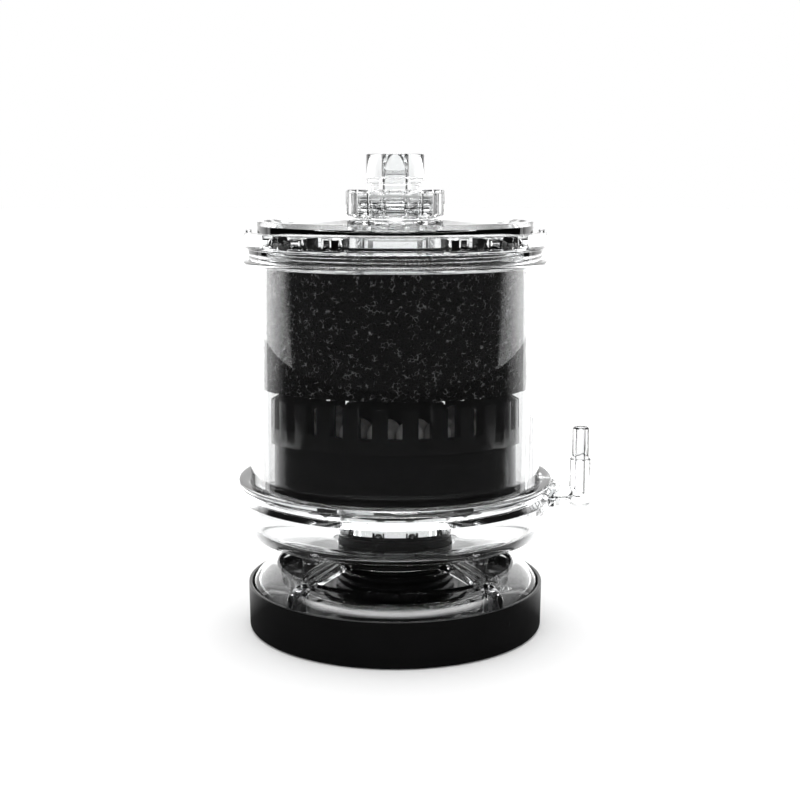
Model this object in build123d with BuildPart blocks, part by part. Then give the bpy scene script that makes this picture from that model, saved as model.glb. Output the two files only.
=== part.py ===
from build123d import *
from math import asin, degrees
import os

# Air-driven in-tank skimmer and filter, in millimetres.
# Origin: centre of the face that the foot pad rests on. +Z is up, +X points to the airline elbow.

# ---- fits and gaps ----
running_fit = 0.08        # radial clearance where one piece turns or slides in another
seal_fit = 0.05           # clearance between a seal or a bonded piece and its neighbour
loose_fit = 0.2           # radial clearance of pieces that only drop in
body_gap = 0.3            # space left between pieces that can be taken apart

# ---- driving sizes ----
tube_radius = 44.9        # outside of the clear body tube
tube_height = 73.6
tube_wall = 3.9
neck_crest_radius = 18.5  # over the ridges of the neck
riser_radius = 12.5
spigot_radius = 2.25      # of the airline elbow, where it enters the bowl
nozzle_neck_radius = 7.37
media_radius = 4.0

# ---- stand ----
base_overhang = 1.3       # how far the rim stands out past the body tube
base_draft = 0.2          # how much narrower the foot is than the rim
base_height = 14.4
base_floor = 2.8
base_rim = 1.1            # thin wall that the dome nests in
base_wall = 4.6           # thick wall below the deck
base_edge = 0.9           # rounding of the bottom edge
pad_inset = 4.8
pad_thickness = 1.6
pad_proud = 0.2           # how far the pad stands below the base
deck_thickness = 2.2
deck_drop = 3.9           # deck below the rim
deck_slot_count = 12
deck_slot_length = 8.0
deck_slot_width = 3.0
deck_slot_margin = 2.52   # between the hub and the slots
hub_wall = 3.9
hub_rise = 1.5            # hub above the deck
hub_drop = 4.5            # hub below the deck's top
ballast_height = 2.7
ballast_inner_gap = 1.52
ballast_outer_gap = 6.0
ballast_edge = 0.45

# ---- dome ----
dome_wall = 2.2
dome_nest_gap = 0.15
dome_skirt = 2.7          # straight height of the dome above the deck
dome_shoulder_inset = 6.55
dome_shoulder_rise = 9.1  # above the deck
dome_crown_share = 0.468  # place of the crown point between the neck opening and the shoulder
dome_crown_rise = 12.5
dome_top_rise = 13.5
dome_neck_gap = 0.7
window_rim = 3.8          # between the neck opening and the windows
window_corner = 2.0
spoke_width = 6.4
spoke_rib_width = 1.1
spoke_rib_height = 0.9
spoke_angle = 45.0
spoke_count = 4

# ---- small fasteners ----
dome_screw_inset = 6.2    # from the rim of the base
dome_screw_radius = 1.4
dome_screw_head_radius = 2.1
dome_screw_head_height = 1.6
dome_screw_post_radius = 3.1
dome_screw_sink = 0.9     # head top below the dome's surface
screw_hole_gap = 0.1
neck_screw_inset = 2.4    # from the neck's bore
neck_screw_half_angle = 18.0
neck_screw_radius = 0.9
neck_screw_head_radius = 1.75
neck_screw_head_height = 1.7
neck_screw_depth = 6.0    # how far the screw reaches into the neck

# ---- neck ----
neck_ridge_height = 0.8
neck_wall = 4.7
neck_pitch = 2.6
neck_crest_width = 1.0
collar_lift = 0.6         # collar above the dome
collar_height = 1.7
collar_width = 2.0
gasket_thickness = 0.6
flange_thickness = 1.9

# ---- bowl ----
bowl_boss_height = 2.9
bowl_boss_ledge = 0.9
bowl_hole_gap = 0.4
bowl_floor = 2.0
bowl_flat_inset = 3.5     # flat floor inside the tube's outside
bowl_corner_run = 5.9
bowl_corner_rise = 4.6
bowl_waist_flare = 2.8
bowl_waist_rise = 6.0
bowl_rim_flare = 3.9
bowl_height = 18.0
bowl_wall = 3.2
bowl_socket_depth = 3.1
bowl_lip = 0.7
seal_height = 1.3
seal_width = 1.2

# ---- airline elbow and air feed ----
air_rise = 11.9           # air feed above the bowl's underside
air_bore_radius = 1.3
spigot_reach = 11.4       # spigot inside the end of its boss
elbow_boss_step = 0.9     # boss past the bowl's rim
elbow_boss_wall = 2.15
elbow_offset = 9.2        # stem past the bowl's rim
elbow_stem_wall = 1.0     # stem wider than the spigot
elbow_heel = 0.35         # stem below the spigot
elbow_stem_rise = 11.2
nipple_radius = 2.6
nipple_length = 9.9
elbow_collar_step = 1.75
elbow_collar_width = 1.3
elbow_collar_gap = 0.4
elbow_seal_width = 1.1
elbow_seal_depth = 1.2
pipe_slack = 0.05         # pipe thinner than the spigot
pipe_socket_length = 4.2
pipe_socket_wall = 1.0
stone_radius = 6.5
stone_height = 7.6

# ---- lift chamber and riser ----
chamber_wall = 1.8
chamber_height = 12.0
chamber_roof = 1.5
chamber_spigot_height = 5.5
riser_wall = 1.7
riser_rise = 3.2          # riser above the body tube

# ---- drum, slotted ring and media ----
drum_wall = 2.2
drum_floor = 2.0
drum_clearance = 1.3      # between the drum's flange and the tube's bore
drum_flange_width = 2.8
drum_flange_height = 3.3
drum_height = 15.3
drum_collar_wall = 1.8
drum_collar_height = 30.0
clip_half_angle = 28.7
clip_width = 5.2
clip_height = 2.1
clip_point = 1.3
clip_thickness = 2.2
slotted_overhang = 1.0
slotted_height = 15.0
slotted_wall = 3.6
slotted_slope_width = 2.9
slotted_slope_height = 1.8
slotted_lip_height = 2.2
slotted_lip_wall = 1.4
slot_count = 28
slot_width = 4.0
slot_height = 10.3
media_gap = 0.25          # between the media and the walls round it
media_side_gap = 0.15     # between neighbours in one ring
media_layer_share = 1.8   # layer pitch in ball radii, which staggered layers clear

# ---- foam ----
foam_clearance = 0.7      # between the foam and the tube's bore
foam_gap = 0.4            # above and below the foam

# ---- bead of the body tube ----
bead_flare = 1.3
bead_drop = 4.9           # bead's underside below the tube's top
bead_height = 1.2

# ---- lid ----
lid_flare = 1.2
lid_flange_height = 4.4
lid_hollow_step = 1.0     # hollow wider than the tube's bore
lid_step_height = 3.4
lid_step_wall = 2.0
lid_plate = 1.8
lid_plate_rise = 1.6      # plate's edge above the flange
lid_plate_slope = 2.3     # plate's middle above its edge
plug_depth = 5.0
plug_wall = 3.9
plug_seal_drop = 1.7
lid_tube_gap = 0.7
lid_tube_wall = 1.8
lid_tube_drop = 2.1       # below the flange
lid_window_width = 4.6
lid_window_height = 3.0
lid_window_angles = (22.5, 37.5, 52.5)
guard_gap = 0.18
guard_ring_width = 1.8
guard_ring_height = 0.6
guard_tooth_width = 4.3
finger_tab_length = 6.0
finger_tab_width = 1.6
finger_tab_height = 0.8
boss_margin = 2.0         # boss wider than the nozzle's flange
boss_thread_height = 0.5
boss_thread_pitch = 1.5
boss_thread_width = 0.6
boss_height = 5.1

# ---- nozzle and ring nut ----
nozzle_depth = 3.4        # neck below the boss's top
nozzle_flange_width = 3.63
nozzle_flange_height = 1.1
nozzle_bore_radius = 3.2
nozzle_core_wall = 1.0
nozzle_cup_step = 1.43
nozzle_cup_wall = 1.1
nozzle_cup_gap = 1.9      # between the nut and the cup
nozzle_cup_floor = 1.4
nozzle_cup_height = 8.6
nozzle_seal_width = 1.1
washer_thickness = 0.5
nut_wall = 2.1
nut_height = 7.9
nut_plate = 1.3
nut_flute_count = 18
nut_flute_radius = 1.1


def ring_profile(inner, outer, bottom, top):
    """Rectangle in the XZ plane between two radii and two heights, for revolving."""
    with Locations(((inner + outer) / 2, (bottom + top) / 2)):
        Rectangle(outer - inner, top - bottom)


def ridge_profile(root, crest, bottom, count, pitch, width):
    """Row of thread ridges on a root cylinder, as half-sections in the XZ plane."""
    for turn in range(count):
        low = bottom + turn * pitch
        Polygon(
            (root - width, low),
            (root, low),
            (crest, low + (pitch - width) / 2),
            (crest, low + (pitch + width) / 2),
            (root, low + pitch),
            (root - width, low + pitch),
            align=None,
        )


# ---- derived radii ----
base_radius = tube_radius + base_overhang
pad_radius = base_radius - pad_inset
deck_radius = base_radius - base_rim - loose_fit
hub_bore_radius = neck_crest_radius + running_fit
hub_radius = hub_bore_radius + hub_wall
deck_slot_radius = hub_radius + deck_slot_margin + deck_slot_length / 2
ballast_inner_radius = hub_radius + ballast_inner_gap
ballast_outer_radius = pad_radius - ballast_outer_gap
dome_screw_circle = base_radius - dome_screw_inset
dome_radius = base_radius - base_rim - dome_nest_gap
dome_hole_radius = neck_crest_radius + dome_neck_gap
dome_shoulder_radius = dome_radius - dome_shoulder_inset
dome_crown_radius = dome_hole_radius + dome_crown_share * (dome_shoulder_radius - dome_hole_radius)
window_inner_radius = dome_hole_radius + window_rim
window_outer_radius = dome_screw_circle - dome_screw_post_radius - body_gap
spoke_start_radius = hub_bore_radius + collar_width + body_gap
spoke_end_radius = dome_screw_circle - dome_screw_head_radius
neck_root_radius = neck_crest_radius - neck_ridge_height
neck_bore_radius = neck_root_radius - neck_wall
neck_screw_circle = neck_bore_radius + neck_screw_inset
flange_radius = neck_root_radius - body_gap
bowl_boss_radius = neck_crest_radius + bowl_boss_ledge
bowl_hole_radius = neck_bore_radius + bowl_hole_gap
bowl_flat_radius = tube_radius - bowl_flat_inset
bowl_waist_radius = tube_radius + bowl_waist_flare
bowl_rim_radius = tube_radius + bowl_rim_flare
socket_radius = tube_radius + running_fit
tube_bore = tube_radius - tube_wall
bead_radius = tube_radius + bead_flare
elbow_reach = bowl_rim_radius + elbow_offset
elbow_boss_end = bowl_rim_radius + elbow_boss_step
elbow_boss_radius = spigot_radius + elbow_boss_wall
elbow_stem_radius = spigot_radius + elbow_stem_wall
elbow_collar_radius = spigot_radius + elbow_collar_step
elbow_collar_start = elbow_boss_end + elbow_collar_gap
spigot_inner_end = elbow_boss_end - spigot_reach
pipe_radius = spigot_radius - pipe_slack
chamber_radius = flange_radius + loose_fit
riser_bore = riser_radius - riser_wall
drum_flange_radius = tube_bore - drum_clearance
drum_radius = drum_flange_radius - drum_flange_width
drum_bore = drum_radius - drum_wall
drum_collar_bore = riser_radius + seal_fit
slotted_radius = drum_radius + slotted_overhang
slotted_top_radius = slotted_radius - slotted_slope_width
slotted_lip_radius = drum_bore - seal_fit
foam_radius = tube_bore - foam_clearance
plug_radius = tube_bore - running_fit
lid_radius = tube_radius + lid_flare
lid_hollow_radius = tube_bore + lid_hollow_step
lid_tube_radius = riser_radius + lid_tube_gap + lid_tube_wall
guard_inner_radius = plug_radius - plug_wall + guard_gap
guard_outer_radius = lid_hollow_radius - loose_fit
boss_bore_radius = nozzle_neck_radius + running_fit
nozzle_flange_radius = nozzle_neck_radius + nozzle_flange_width
nozzle_core_radius = nozzle_bore_radius + nozzle_core_wall
nozzle_cup_radius = nozzle_neck_radius + nozzle_cup_step
boss_thread_radius = nozzle_flange_radius + boss_margin
boss_thread_root = boss_thread_radius - boss_thread_height
nut_radius = boss_thread_radius + nut_wall

# ---- derived heights ----
base_bottom = pad_proud
floor_top = base_bottom + base_floor
deck_top = base_height - deck_drop
deck_bottom = deck_top - deck_thickness
dome_top = deck_top + dome_top_rise
neck_bottom = deck_top - hub_drop
collar_bottom = dome_top + collar_lift
neck_top = collar_bottom + collar_height + body_gap
bowl_bottom = neck_top + bowl_boss_height
bowl_floor_top = bowl_bottom + bowl_floor
bowl_waist = bowl_bottom + bowl_waist_rise
bowl_rim_top = bowl_bottom + bowl_height
air_height = bowl_bottom + air_rise
elbow_stem_bottom = air_height - spigot_radius - elbow_heel
elbow_stem_top = air_height + elbow_stem_rise
nipple_top = elbow_stem_top + nipple_length
flange_bottom = bowl_floor_top + gasket_thickness
flange_top = flange_bottom + flange_thickness
chamber_bottom = flange_top
chamber_top = chamber_bottom + chamber_height
socket_floor = bowl_rim_top - bowl_socket_depth
tube_bottom = socket_floor + body_gap
tube_top = tube_bottom + tube_height
bead_bottom = tube_top - bead_drop
drum_bottom = chamber_top + body_gap
drum_top = drum_bottom + drum_height
slotted_top = drum_top + slotted_height
slotted_edge = slotted_top - slotted_slope_height
slot_bottom = slotted_top - slot_height
riser_top = tube_top + riser_rise
lid_bottom = tube_top + body_gap
plug_bottom = lid_bottom - plug_depth
foam_bottom = slotted_top + foam_gap
foam_top = plug_bottom - foam_gap
lid_tube_bottom = lid_bottom - lid_tube_drop
lid_flange_top = lid_bottom + lid_flange_height
lid_step_top = lid_flange_top + lid_step_height
lid_plate_outer = lid_flange_top + lid_plate_rise
lid_plate_inner = lid_plate_outer + lid_plate_slope
boss_top = lid_plate_inner + boss_height
nozzle_bottom = boss_top - nozzle_depth
nozzle_flange_bottom = boss_top + body_gap
nozzle_flange_top = nozzle_flange_bottom + nozzle_flange_height
washer_bottom = nozzle_flange_top + body_gap
nut_top = washer_bottom + washer_thickness + body_gap + nut_plate
nut_bottom = nut_top - nut_height
nozzle_cup_bottom = nut_top + nozzle_cup_gap
nozzle_top = nozzle_cup_bottom + nozzle_cup_height

# ---- roundings that follow their pieces ----
screw_head_edge = dome_screw_head_height / 3
pan_head_edge = neck_screw_head_height / 2
collar_edge = collar_height / 3
elbow_heel_edge = elbow_stem_radius / 3
nipple_edge = nipple_radius / 6
stone_edge = stone_radius / 10
seal_edge = seal_width / 4
nozzle_seal_edge = nozzle_seal_width / 4
nut_edge = nut_flute_radius / 2

os.makedirs("parts", exist_ok=True)

# ======== stand ========

with BuildPart() as base_pad:
    with BuildSketch(Plane.XY) as pad_outline:
        Circle(pad_radius)
    extrude(amount=pad_thickness)

with BuildPart() as base_shell:
    with BuildSketch(Plane.XZ) as shell_section:
        with BuildLine():
            Polyline(
                (0, base_bottom),
                (base_radius - base_draft, base_bottom),
                (base_radius, base_height),
                (base_radius - base_rim, base_height),
                (base_radius - base_rim, deck_bottom),
                (base_radius - base_wall, deck_bottom),
                (base_radius - base_wall, floor_top),
                (0, floor_top),
                close=True,
            )
        make_face()
    revolve(axis=Axis.Z)
    fillet(base_shell.edges().filter_by(GeomType.CIRCLE).group_by(Axis.Z)[0], base_edge)
    with BuildSketch(Plane.XY.offset(base_bottom)) as pad_recess:
        Circle(pad_radius + seal_fit)
    extrude(amount=pad_thickness - pad_proud, mode=Mode.SUBTRACT)
    with BuildSketch(Plane.XY.offset(floor_top)) as post_bases:
        with PolarLocations(dome_screw_circle, spoke_count, start_angle=spoke_angle):
            Circle(dome_screw_post_radius)
    extrude(amount=deck_bottom - floor_top)
    with BuildSketch(Plane.XY.offset(deck_bottom)) as post_bores:
        with PolarLocations(dome_screw_circle, spoke_count, start_angle=spoke_angle):
            Circle(dome_screw_radius + screw_hole_gap)
    extrude(amount=floor_top - deck_bottom, mode=Mode.SUBTRACT)

with BuildPart() as ballast_ring:
    with BuildSketch(Plane.XY.offset(floor_top)) as ballast_outline:
        Circle(ballast_outer_radius)
        Circle(ballast_inner_radius, mode=Mode.SUBTRACT)
    extrude(amount=ballast_height)
    chamfer(ballast_ring.edges().group_by(Axis.Z)[-1], ballast_edge)

with BuildPart() as base_deck:
    with BuildSketch(Plane.XZ) as deck_section:
        ring_profile(hub_bore_radius, deck_radius, deck_bottom, deck_top)
        ring_profile(hub_bore_radius, hub_radius, deck_top - hub_drop, deck_top + hub_rise)
    revolve(axis=Axis.Z)
    with BuildSketch(Plane.XY.offset(deck_bottom)) as deck_openings:
        with PolarLocations(deck_slot_radius, deck_slot_count):
            SlotOverall(deck_slot_length, deck_slot_width)
        with PolarLocations(dome_screw_circle, spoke_count, start_angle=spoke_angle):
            Circle(dome_screw_radius + screw_hole_gap)
    extrude(amount=deck_thickness, mode=Mode.SUBTRACT)

# ======== dome ========

dome_profile_points = (
    (dome_radius, deck_top + dome_skirt),
    (dome_shoulder_radius, deck_top + dome_shoulder_rise),
    (dome_crown_radius, deck_top + dome_crown_rise),
    (dome_hole_radius, dome_top),
)
head_top = deck_top + dome_shoulder_rise - dome_screw_sink
head_bottom = head_top - dome_screw_head_height

with BuildPart() as dome_rib_shell:
    with BuildSketch(Plane.XZ) as rib_shell_section:
        with BuildLine():
            Spline(dome_profile_points, tangents=((0, 1), (-1, 0)))
            Line((dome_hole_radius, dome_top), (dome_hole_radius, dome_top + spoke_rib_height))
            Spline(
                tuple((x, z + spoke_rib_height) for x, z in dome_profile_points),
                tangents=((0, 1), (-1, 0)),
            )
            Line(
                (dome_radius, deck_top + dome_skirt + spoke_rib_height),
                (dome_radius, deck_top + dome_skirt),
            )
        make_face()
    revolve(axis=Axis.Z)
    with BuildSketch(Plane.XY.offset(deck_top)) as rib_outline:
        for side in (-1, 1):
            with PolarLocations(0, spoke_count, start_angle=spoke_angle):
                with Locations(((spoke_end_radius + spoke_start_radius) / 2,
                                side * (spoke_width - spoke_rib_width) / 2)):
                    Rectangle(spoke_end_radius - spoke_start_radius, spoke_rib_width)
    extrude(amount=dome_top_rise + base_height, mode=Mode.INTERSECT)

with BuildPart() as dome:
    with BuildSketch(Plane.XZ) as dome_section:
        with BuildLine():
            Spline(dome_profile_points, tangents=((0, 1), (-1, 0)))
            Line((dome_hole_radius, dome_top), (dome_hole_radius, dome_top - dome_wall))
            Spline(
                (dome_hole_radius, dome_top - dome_wall),
                (dome_crown_radius, deck_top + dome_crown_rise - dome_wall),
                (dome_shoulder_radius - dome_wall / 2, deck_top + dome_shoulder_rise - dome_wall),
                (dome_radius - dome_wall, deck_top + dome_skirt),
                tangents=((1, 0), (0, -1)),
            )
            Polyline(
                (dome_radius - dome_wall, deck_top + dome_skirt),
                (dome_radius - dome_wall, deck_top),
                (dome_radius, deck_top),
                (dome_radius, deck_top + dome_skirt),
            )
        make_face()
    revolve(axis=Axis.Z)
    with BuildSketch(Plane.XY.offset(deck_top)) as post_columns:
        with PolarLocations(dome_screw_circle, spoke_count, start_angle=spoke_angle):
            Circle(dome_screw_post_radius)
    extrude(amount=head_bottom - deck_top)
    with BuildSketch(Plane.XY.offset(deck_top + dome_skirt)) as window_outline:
        Circle(window_outer_radius)
        Circle(window_inner_radius, mode=Mode.SUBTRACT)
        Rectangle(2 * base_radius, spoke_width, rotation=spoke_angle, mode=Mode.SUBTRACT)
        Rectangle(2 * base_radius, spoke_width, rotation=-spoke_angle, mode=Mode.SUBTRACT)
        fillet(window_outline.vertices(), window_corner)
    extrude(amount=base_height, mode=Mode.SUBTRACT)
    add(dome_rib_shell.part)
    with BuildSketch(Plane.XY.offset(head_bottom)) as head_pockets:
        with PolarLocations(dome_screw_circle, spoke_count, start_angle=spoke_angle):
            Circle(dome_screw_head_radius + screw_hole_gap)
    extrude(amount=base_height, mode=Mode.SUBTRACT)
    with BuildSketch(Plane.XY.offset(deck_top)) as screw_bores:
        with PolarLocations(dome_screw_circle, spoke_count, start_angle=spoke_angle):
            Circle(dome_screw_radius + screw_hole_gap)
    extrude(amount=dome_top_rise, mode=Mode.SUBTRACT)

with BuildPart() as dome_screws:
    with BuildSketch(Plane.XY.offset(floor_top + screw_hole_gap)) as shank_outline:
        with PolarLocations(dome_screw_circle, spoke_count, start_angle=spoke_angle):
            Circle(dome_screw_radius)
    extrude(amount=head_bottom - floor_top - screw_hole_gap)
    with BuildSketch(Plane.XY.offset(head_bottom)) as head_outline:
        with PolarLocations(dome_screw_circle, spoke_count, start_angle=spoke_angle):
            Circle(dome_screw_head_radius)
    extrude(amount=dome_screw_head_height)
    fillet(dome_screws.edges().group_by(Axis.Z)[-1], screw_head_edge)
    with BuildSketch(Plane.XY.offset(head_top)) as drive_slots:
        with PolarLocations(dome_screw_circle, spoke_count, start_angle=spoke_angle):
            Rectangle(dome_screw_head_radius, dome_screw_head_height / 4)
    extrude(amount=-dome_screw_head_height / 2, mode=Mode.SUBTRACT)

# ======== neck ========

neck_ridge_count = int((neck_top - neck_bottom) / neck_pitch)
neck_screw_tip = neck_top - neck_screw_depth
neck_screw_angles = [
    front + side * neck_screw_half_angle for front in (90, 270) for side in (-1, 1)
]

with BuildPart() as neck:
    with BuildSketch(Plane.XZ) as neck_section:
        ring_profile(neck_bore_radius, neck_root_radius, neck_bottom, neck_top)
        ridge_profile(
            neck_root_radius, neck_crest_radius, neck_bottom, neck_ridge_count, neck_pitch,
            neck_crest_width,
        )
    revolve(axis=Axis.Z)
    with BuildSketch(Plane.XY.offset(neck_top)) as neck_screw_bores:
        for angle in neck_screw_angles:
            with PolarLocations(neck_screw_circle, 1, start_angle=angle):
                Circle(neck_screw_radius + screw_hole_gap)
    extrude(amount=neck_screw_tip - neck_top - screw_hole_gap, mode=Mode.SUBTRACT)

with BuildPart() as neck_collar:
    with BuildSketch(Plane.XY.offset(collar_bottom)) as collar_outline:
        Circle(hub_bore_radius + collar_width)
        Circle(hub_bore_radius, mode=Mode.SUBTRACT)
    extrude(amount=collar_height)
    fillet(neck_collar.edges().group_by(Axis.Z)[-1].sort_by(SortBy.LENGTH)[-1], collar_edge)

with BuildPart() as neck_gasket:
    with BuildSketch(Plane.XY.offset(bowl_floor_top)) as gasket_outline:
        Circle(flange_radius)
        Circle(bowl_hole_radius, mode=Mode.SUBTRACT)
        for angle in neck_screw_angles:
            with PolarLocations(neck_screw_circle, 1, start_angle=angle):
                Circle(neck_screw_radius + screw_hole_gap, mode=Mode.SUBTRACT)
    extrude(amount=gasket_thickness)

with BuildPart() as neck_flange:
    with BuildSketch(Plane.XY.offset(flange_bottom)) as flange_outline:
        Circle(flange_radius)
        Circle(bowl_hole_radius, mode=Mode.SUBTRACT)
        for angle in neck_screw_angles:
            with PolarLocations(neck_screw_circle, 1, start_angle=angle):
                Circle(neck_screw_radius + screw_hole_gap, mode=Mode.SUBTRACT)
    extrude(amount=flange_thickness)

with BuildPart() as neck_screws:
    with BuildSketch(Plane.XY.offset(neck_screw_tip)) as neck_shanks:
        for angle in neck_screw_angles:
            with PolarLocations(neck_screw_circle, 1, start_angle=angle):
                Circle(neck_screw_radius)
    extrude(amount=flange_top - neck_screw_tip)
    with BuildSketch(Plane.XY.offset(flange_top)) as neck_heads:
        for angle in neck_screw_angles:
            with PolarLocations(neck_screw_circle, 1, start_angle=angle):
                Circle(neck_screw_head_radius)
    extrude(amount=neck_screw_head_height)
    fillet(neck_screws.edges().group_by(Axis.Z)[-1], pan_head_edge)

# ======== bowl and air feed ========

socket_groove_bottom = socket_floor + (bowl_socket_depth - seal_height) / 2

corner_end = (bowl_flat_radius + bowl_corner_run, bowl_bottom + bowl_corner_rise)
inner_corner_start = (bowl_flat_radius - bowl_wall / 2, bowl_floor_top)
inner_corner_end = (bowl_flat_radius + bowl_corner_run - bowl_wall, bowl_bottom + bowl_corner_rise)

with BuildPart() as bowl:
    with BuildSketch(Plane.XZ) as bowl_section:
        with BuildLine() as bowl_outline:
            Polyline(
                inner_corner_start,
                (bowl_hole_radius, bowl_floor_top),
                (bowl_hole_radius, neck_top),
                (bowl_boss_radius, neck_top),
                (bowl_boss_radius, bowl_bottom),
                (bowl_flat_radius, bowl_bottom),
            )
            TangentArc((bowl_flat_radius, bowl_bottom), corner_end, tangent=(1, 0))
            Polyline(
                corner_end,
                (bowl_waist_radius, bowl_waist),
                (bowl_rim_radius, bowl_rim_top - bowl_lip),
                (bowl_rim_radius - bowl_lip, bowl_rim_top),
                (socket_radius, bowl_rim_top),
                (socket_radius, socket_floor),
                (tube_bore + running_fit, socket_floor),
                (bowl_waist_radius - bowl_wall, bowl_waist),
                inner_corner_end,
            )
            TangentArc(inner_corner_start, inner_corner_end, tangent=(1, 0))
        make_face()
    revolve(axis=Axis.Z)
    with BuildSketch(Plane.YZ.offset(tube_bore)) as elbow_boss:
        with Locations((0, air_height)):
            Circle(elbow_boss_radius)
    extrude(amount=elbow_boss_end - tube_bore)
    with BuildSketch(Plane.XY.offset(socket_floor)) as socket_clear:
        Circle(socket_radius)
    extrude(amount=bowl_rim_top, mode=Mode.SUBTRACT)
    with BuildSketch(Plane.XY.offset(socket_groove_bottom)) as socket_groove:
        Circle(socket_radius + seal_width)
    extrude(amount=seal_height, mode=Mode.SUBTRACT)
    with BuildSketch(Plane.YZ) as elbow_bore:
        with Locations((0, air_height)):
            Circle(spigot_radius + running_fit)
    extrude(amount=bowl_rim_radius + elbow_boss_end, mode=Mode.SUBTRACT)
    with BuildSketch(Plane.YZ.offset(elbow_boss_end - elbow_seal_depth)) as elbow_seat:
        with Locations((0, air_height)):
            Circle(spigot_radius + running_fit + elbow_seal_width)
    extrude(amount=elbow_seal_depth, mode=Mode.SUBTRACT)
    with BuildSketch(Plane.XY.offset(neck_top)) as bowl_screw_bores:
        for angle in neck_screw_angles:
            with PolarLocations(neck_screw_circle, 1, start_angle=angle):
                Circle(neck_screw_radius + screw_hole_gap)
    extrude(amount=bowl_floor_top - neck_top, mode=Mode.SUBTRACT)

with BuildPart() as bowl_seal:
    with BuildSketch(Plane.XZ) as bowl_seal_section:
        ring_profile(
            tube_radius + seal_fit, socket_radius + seal_width - seal_fit,
            socket_groove_bottom + seal_fit, socket_groove_bottom + seal_height - seal_fit,
        )
    revolve(axis=Axis.Z)
    fillet(bowl_seal.edges(), seal_edge)

with BuildPart() as elbow_seal:
    with BuildSketch(Plane.YZ.offset(elbow_boss_end - elbow_seal_depth + seal_fit)) as elbow_seal_ring:
        with Locations((0, air_height)):
            Circle(spigot_radius + elbow_seal_width + seal_fit / 2)
            Circle(spigot_radius + seal_fit, mode=Mode.SUBTRACT)
    extrude(amount=elbow_seal_depth - seal_fit)

with BuildPart() as air_elbow:
    with BuildSketch(Plane.XY.offset(elbow_stem_bottom)) as stem:
        with Locations((elbow_reach, 0)):
            Circle(elbow_stem_radius)
    extrude(amount=elbow_stem_top - elbow_stem_bottom)
    fillet(air_elbow.edges().group_by(Axis.Z)[0], elbow_heel_edge)
    with BuildSketch(Plane.YZ.offset(spigot_inner_end)) as spigot:
        with Locations((0, air_height)):
            Circle(spigot_radius)
    extrude(amount=elbow_reach - spigot_inner_end)
    with BuildSketch(Plane.YZ.offset(elbow_collar_start)) as spigot_collar:
        with Locations((0, air_height)):
            Circle(elbow_collar_radius)
    extrude(amount=elbow_collar_width)
    with BuildSketch(Plane.XY.offset(elbow_stem_top)) as nipple:
        with Locations((elbow_reach, 0)):
            Circle(nipple_radius)
    extrude(amount=nipple_top - elbow_stem_top)
    chamfer(air_elbow.edges().group_by(Axis.Z)[-1], nipple_edge)
    with BuildSketch(Plane.XY.offset(nipple_top)) as nipple_bore:
        with Locations((elbow_reach, 0)):
            Circle(air_bore_radius)
    extrude(amount=air_height - nipple_top, mode=Mode.SUBTRACT)
    with BuildSketch(Plane.YZ.offset(spigot_inner_end)) as spigot_bore:
        with Locations((0, air_height)):
            Circle(air_bore_radius)
    extrude(amount=elbow_reach - spigot_inner_end, mode=Mode.SUBTRACT)

socket_start = spigot_inner_end - pipe_socket_wall / 2
with BuildPart() as air_pipe:
    with BuildSketch(Plane.YZ.offset(stone_radius + seal_fit)) as pipe_run:
        with Locations((0, air_height)):
            Circle(pipe_radius)
    extrude(amount=socket_start - stone_radius - seal_fit)
    with BuildSketch(Plane.YZ.offset(socket_start - pipe_socket_wall)) as pipe_socket:
        with Locations((0, air_height)):
            Circle(spigot_radius + running_fit + pipe_socket_wall)
    extrude(amount=pipe_socket_length)
    with BuildSketch(Plane.YZ.offset(socket_start)) as pipe_socket_bore:
        with Locations((0, air_height)):
            Circle(spigot_radius + running_fit)
    extrude(amount=pipe_socket_length, mode=Mode.SUBTRACT)
    with BuildSketch(Plane.YZ.offset(stone_radius)) as pipe_bore:
        with Locations((0, air_height)):
            Circle(air_bore_radius)
    extrude(amount=socket_start, mode=Mode.SUBTRACT)

with BuildPart() as air_stone:
    with BuildSketch(Plane.XY.offset(air_height - stone_height / 2)) as stone_outline:
        Circle(stone_radius)
    extrude(amount=stone_height)
    chamfer(air_stone.edges().filter_by(GeomType.CIRCLE), stone_edge)

with BuildPart() as lift_chamber:
    with BuildSketch(Plane.XZ) as chamber_section:
        ring_profile(chamber_radius - chamber_wall, chamber_radius, chamber_bottom, chamber_top)
        ring_profile(riser_bore - running_fit - riser_wall, chamber_radius,
                     chamber_top - chamber_roof, chamber_top)
        ring_profile(riser_bore - running_fit - riser_wall, riser_bore - running_fit,
                     chamber_top - chamber_roof, chamber_top + chamber_spigot_height)
    revolve(axis=Axis.Z)
    with BuildSketch(Plane.YZ) as chamber_port:
        with Locations((0, air_height)):
            Circle(pipe_radius + seal_fit)
    extrude(amount=chamber_radius, mode=Mode.SUBTRACT)
    with BuildSketch(Plane.XY.offset(chamber_bottom)) as head_reliefs:
        for angle in neck_screw_angles:
            with PolarLocations(neck_screw_circle, 1, start_angle=angle):
                Circle(neck_screw_head_radius + screw_hole_gap)
    extrude(amount=neck_screw_head_height + screw_hole_gap, mode=Mode.SUBTRACT)

# ======== cartridge: drum, slotted ring, media, riser and foam ========

clip_radius = drum_flange_radius - clip_thickness
clip_angles = [front + side * clip_half_angle for front in (90, 270) for side in (-1, 1)]

with BuildPart() as media_drum:
    with BuildSketch(Plane.XZ) as drum_section:
        ring_profile(drum_collar_bore, drum_flange_radius, drum_bottom, drum_bottom + drum_floor)
        ring_profile(drum_bore, drum_flange_radius, drum_bottom, drum_bottom + drum_flange_height)
        ring_profile(drum_bore, drum_radius, drum_bottom, drum_top)
        ring_profile(drum_collar_bore, drum_collar_bore + drum_collar_wall,
                     drum_bottom, drum_bottom + drum_collar_height)
    revolve(axis=Axis.Z)

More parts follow.
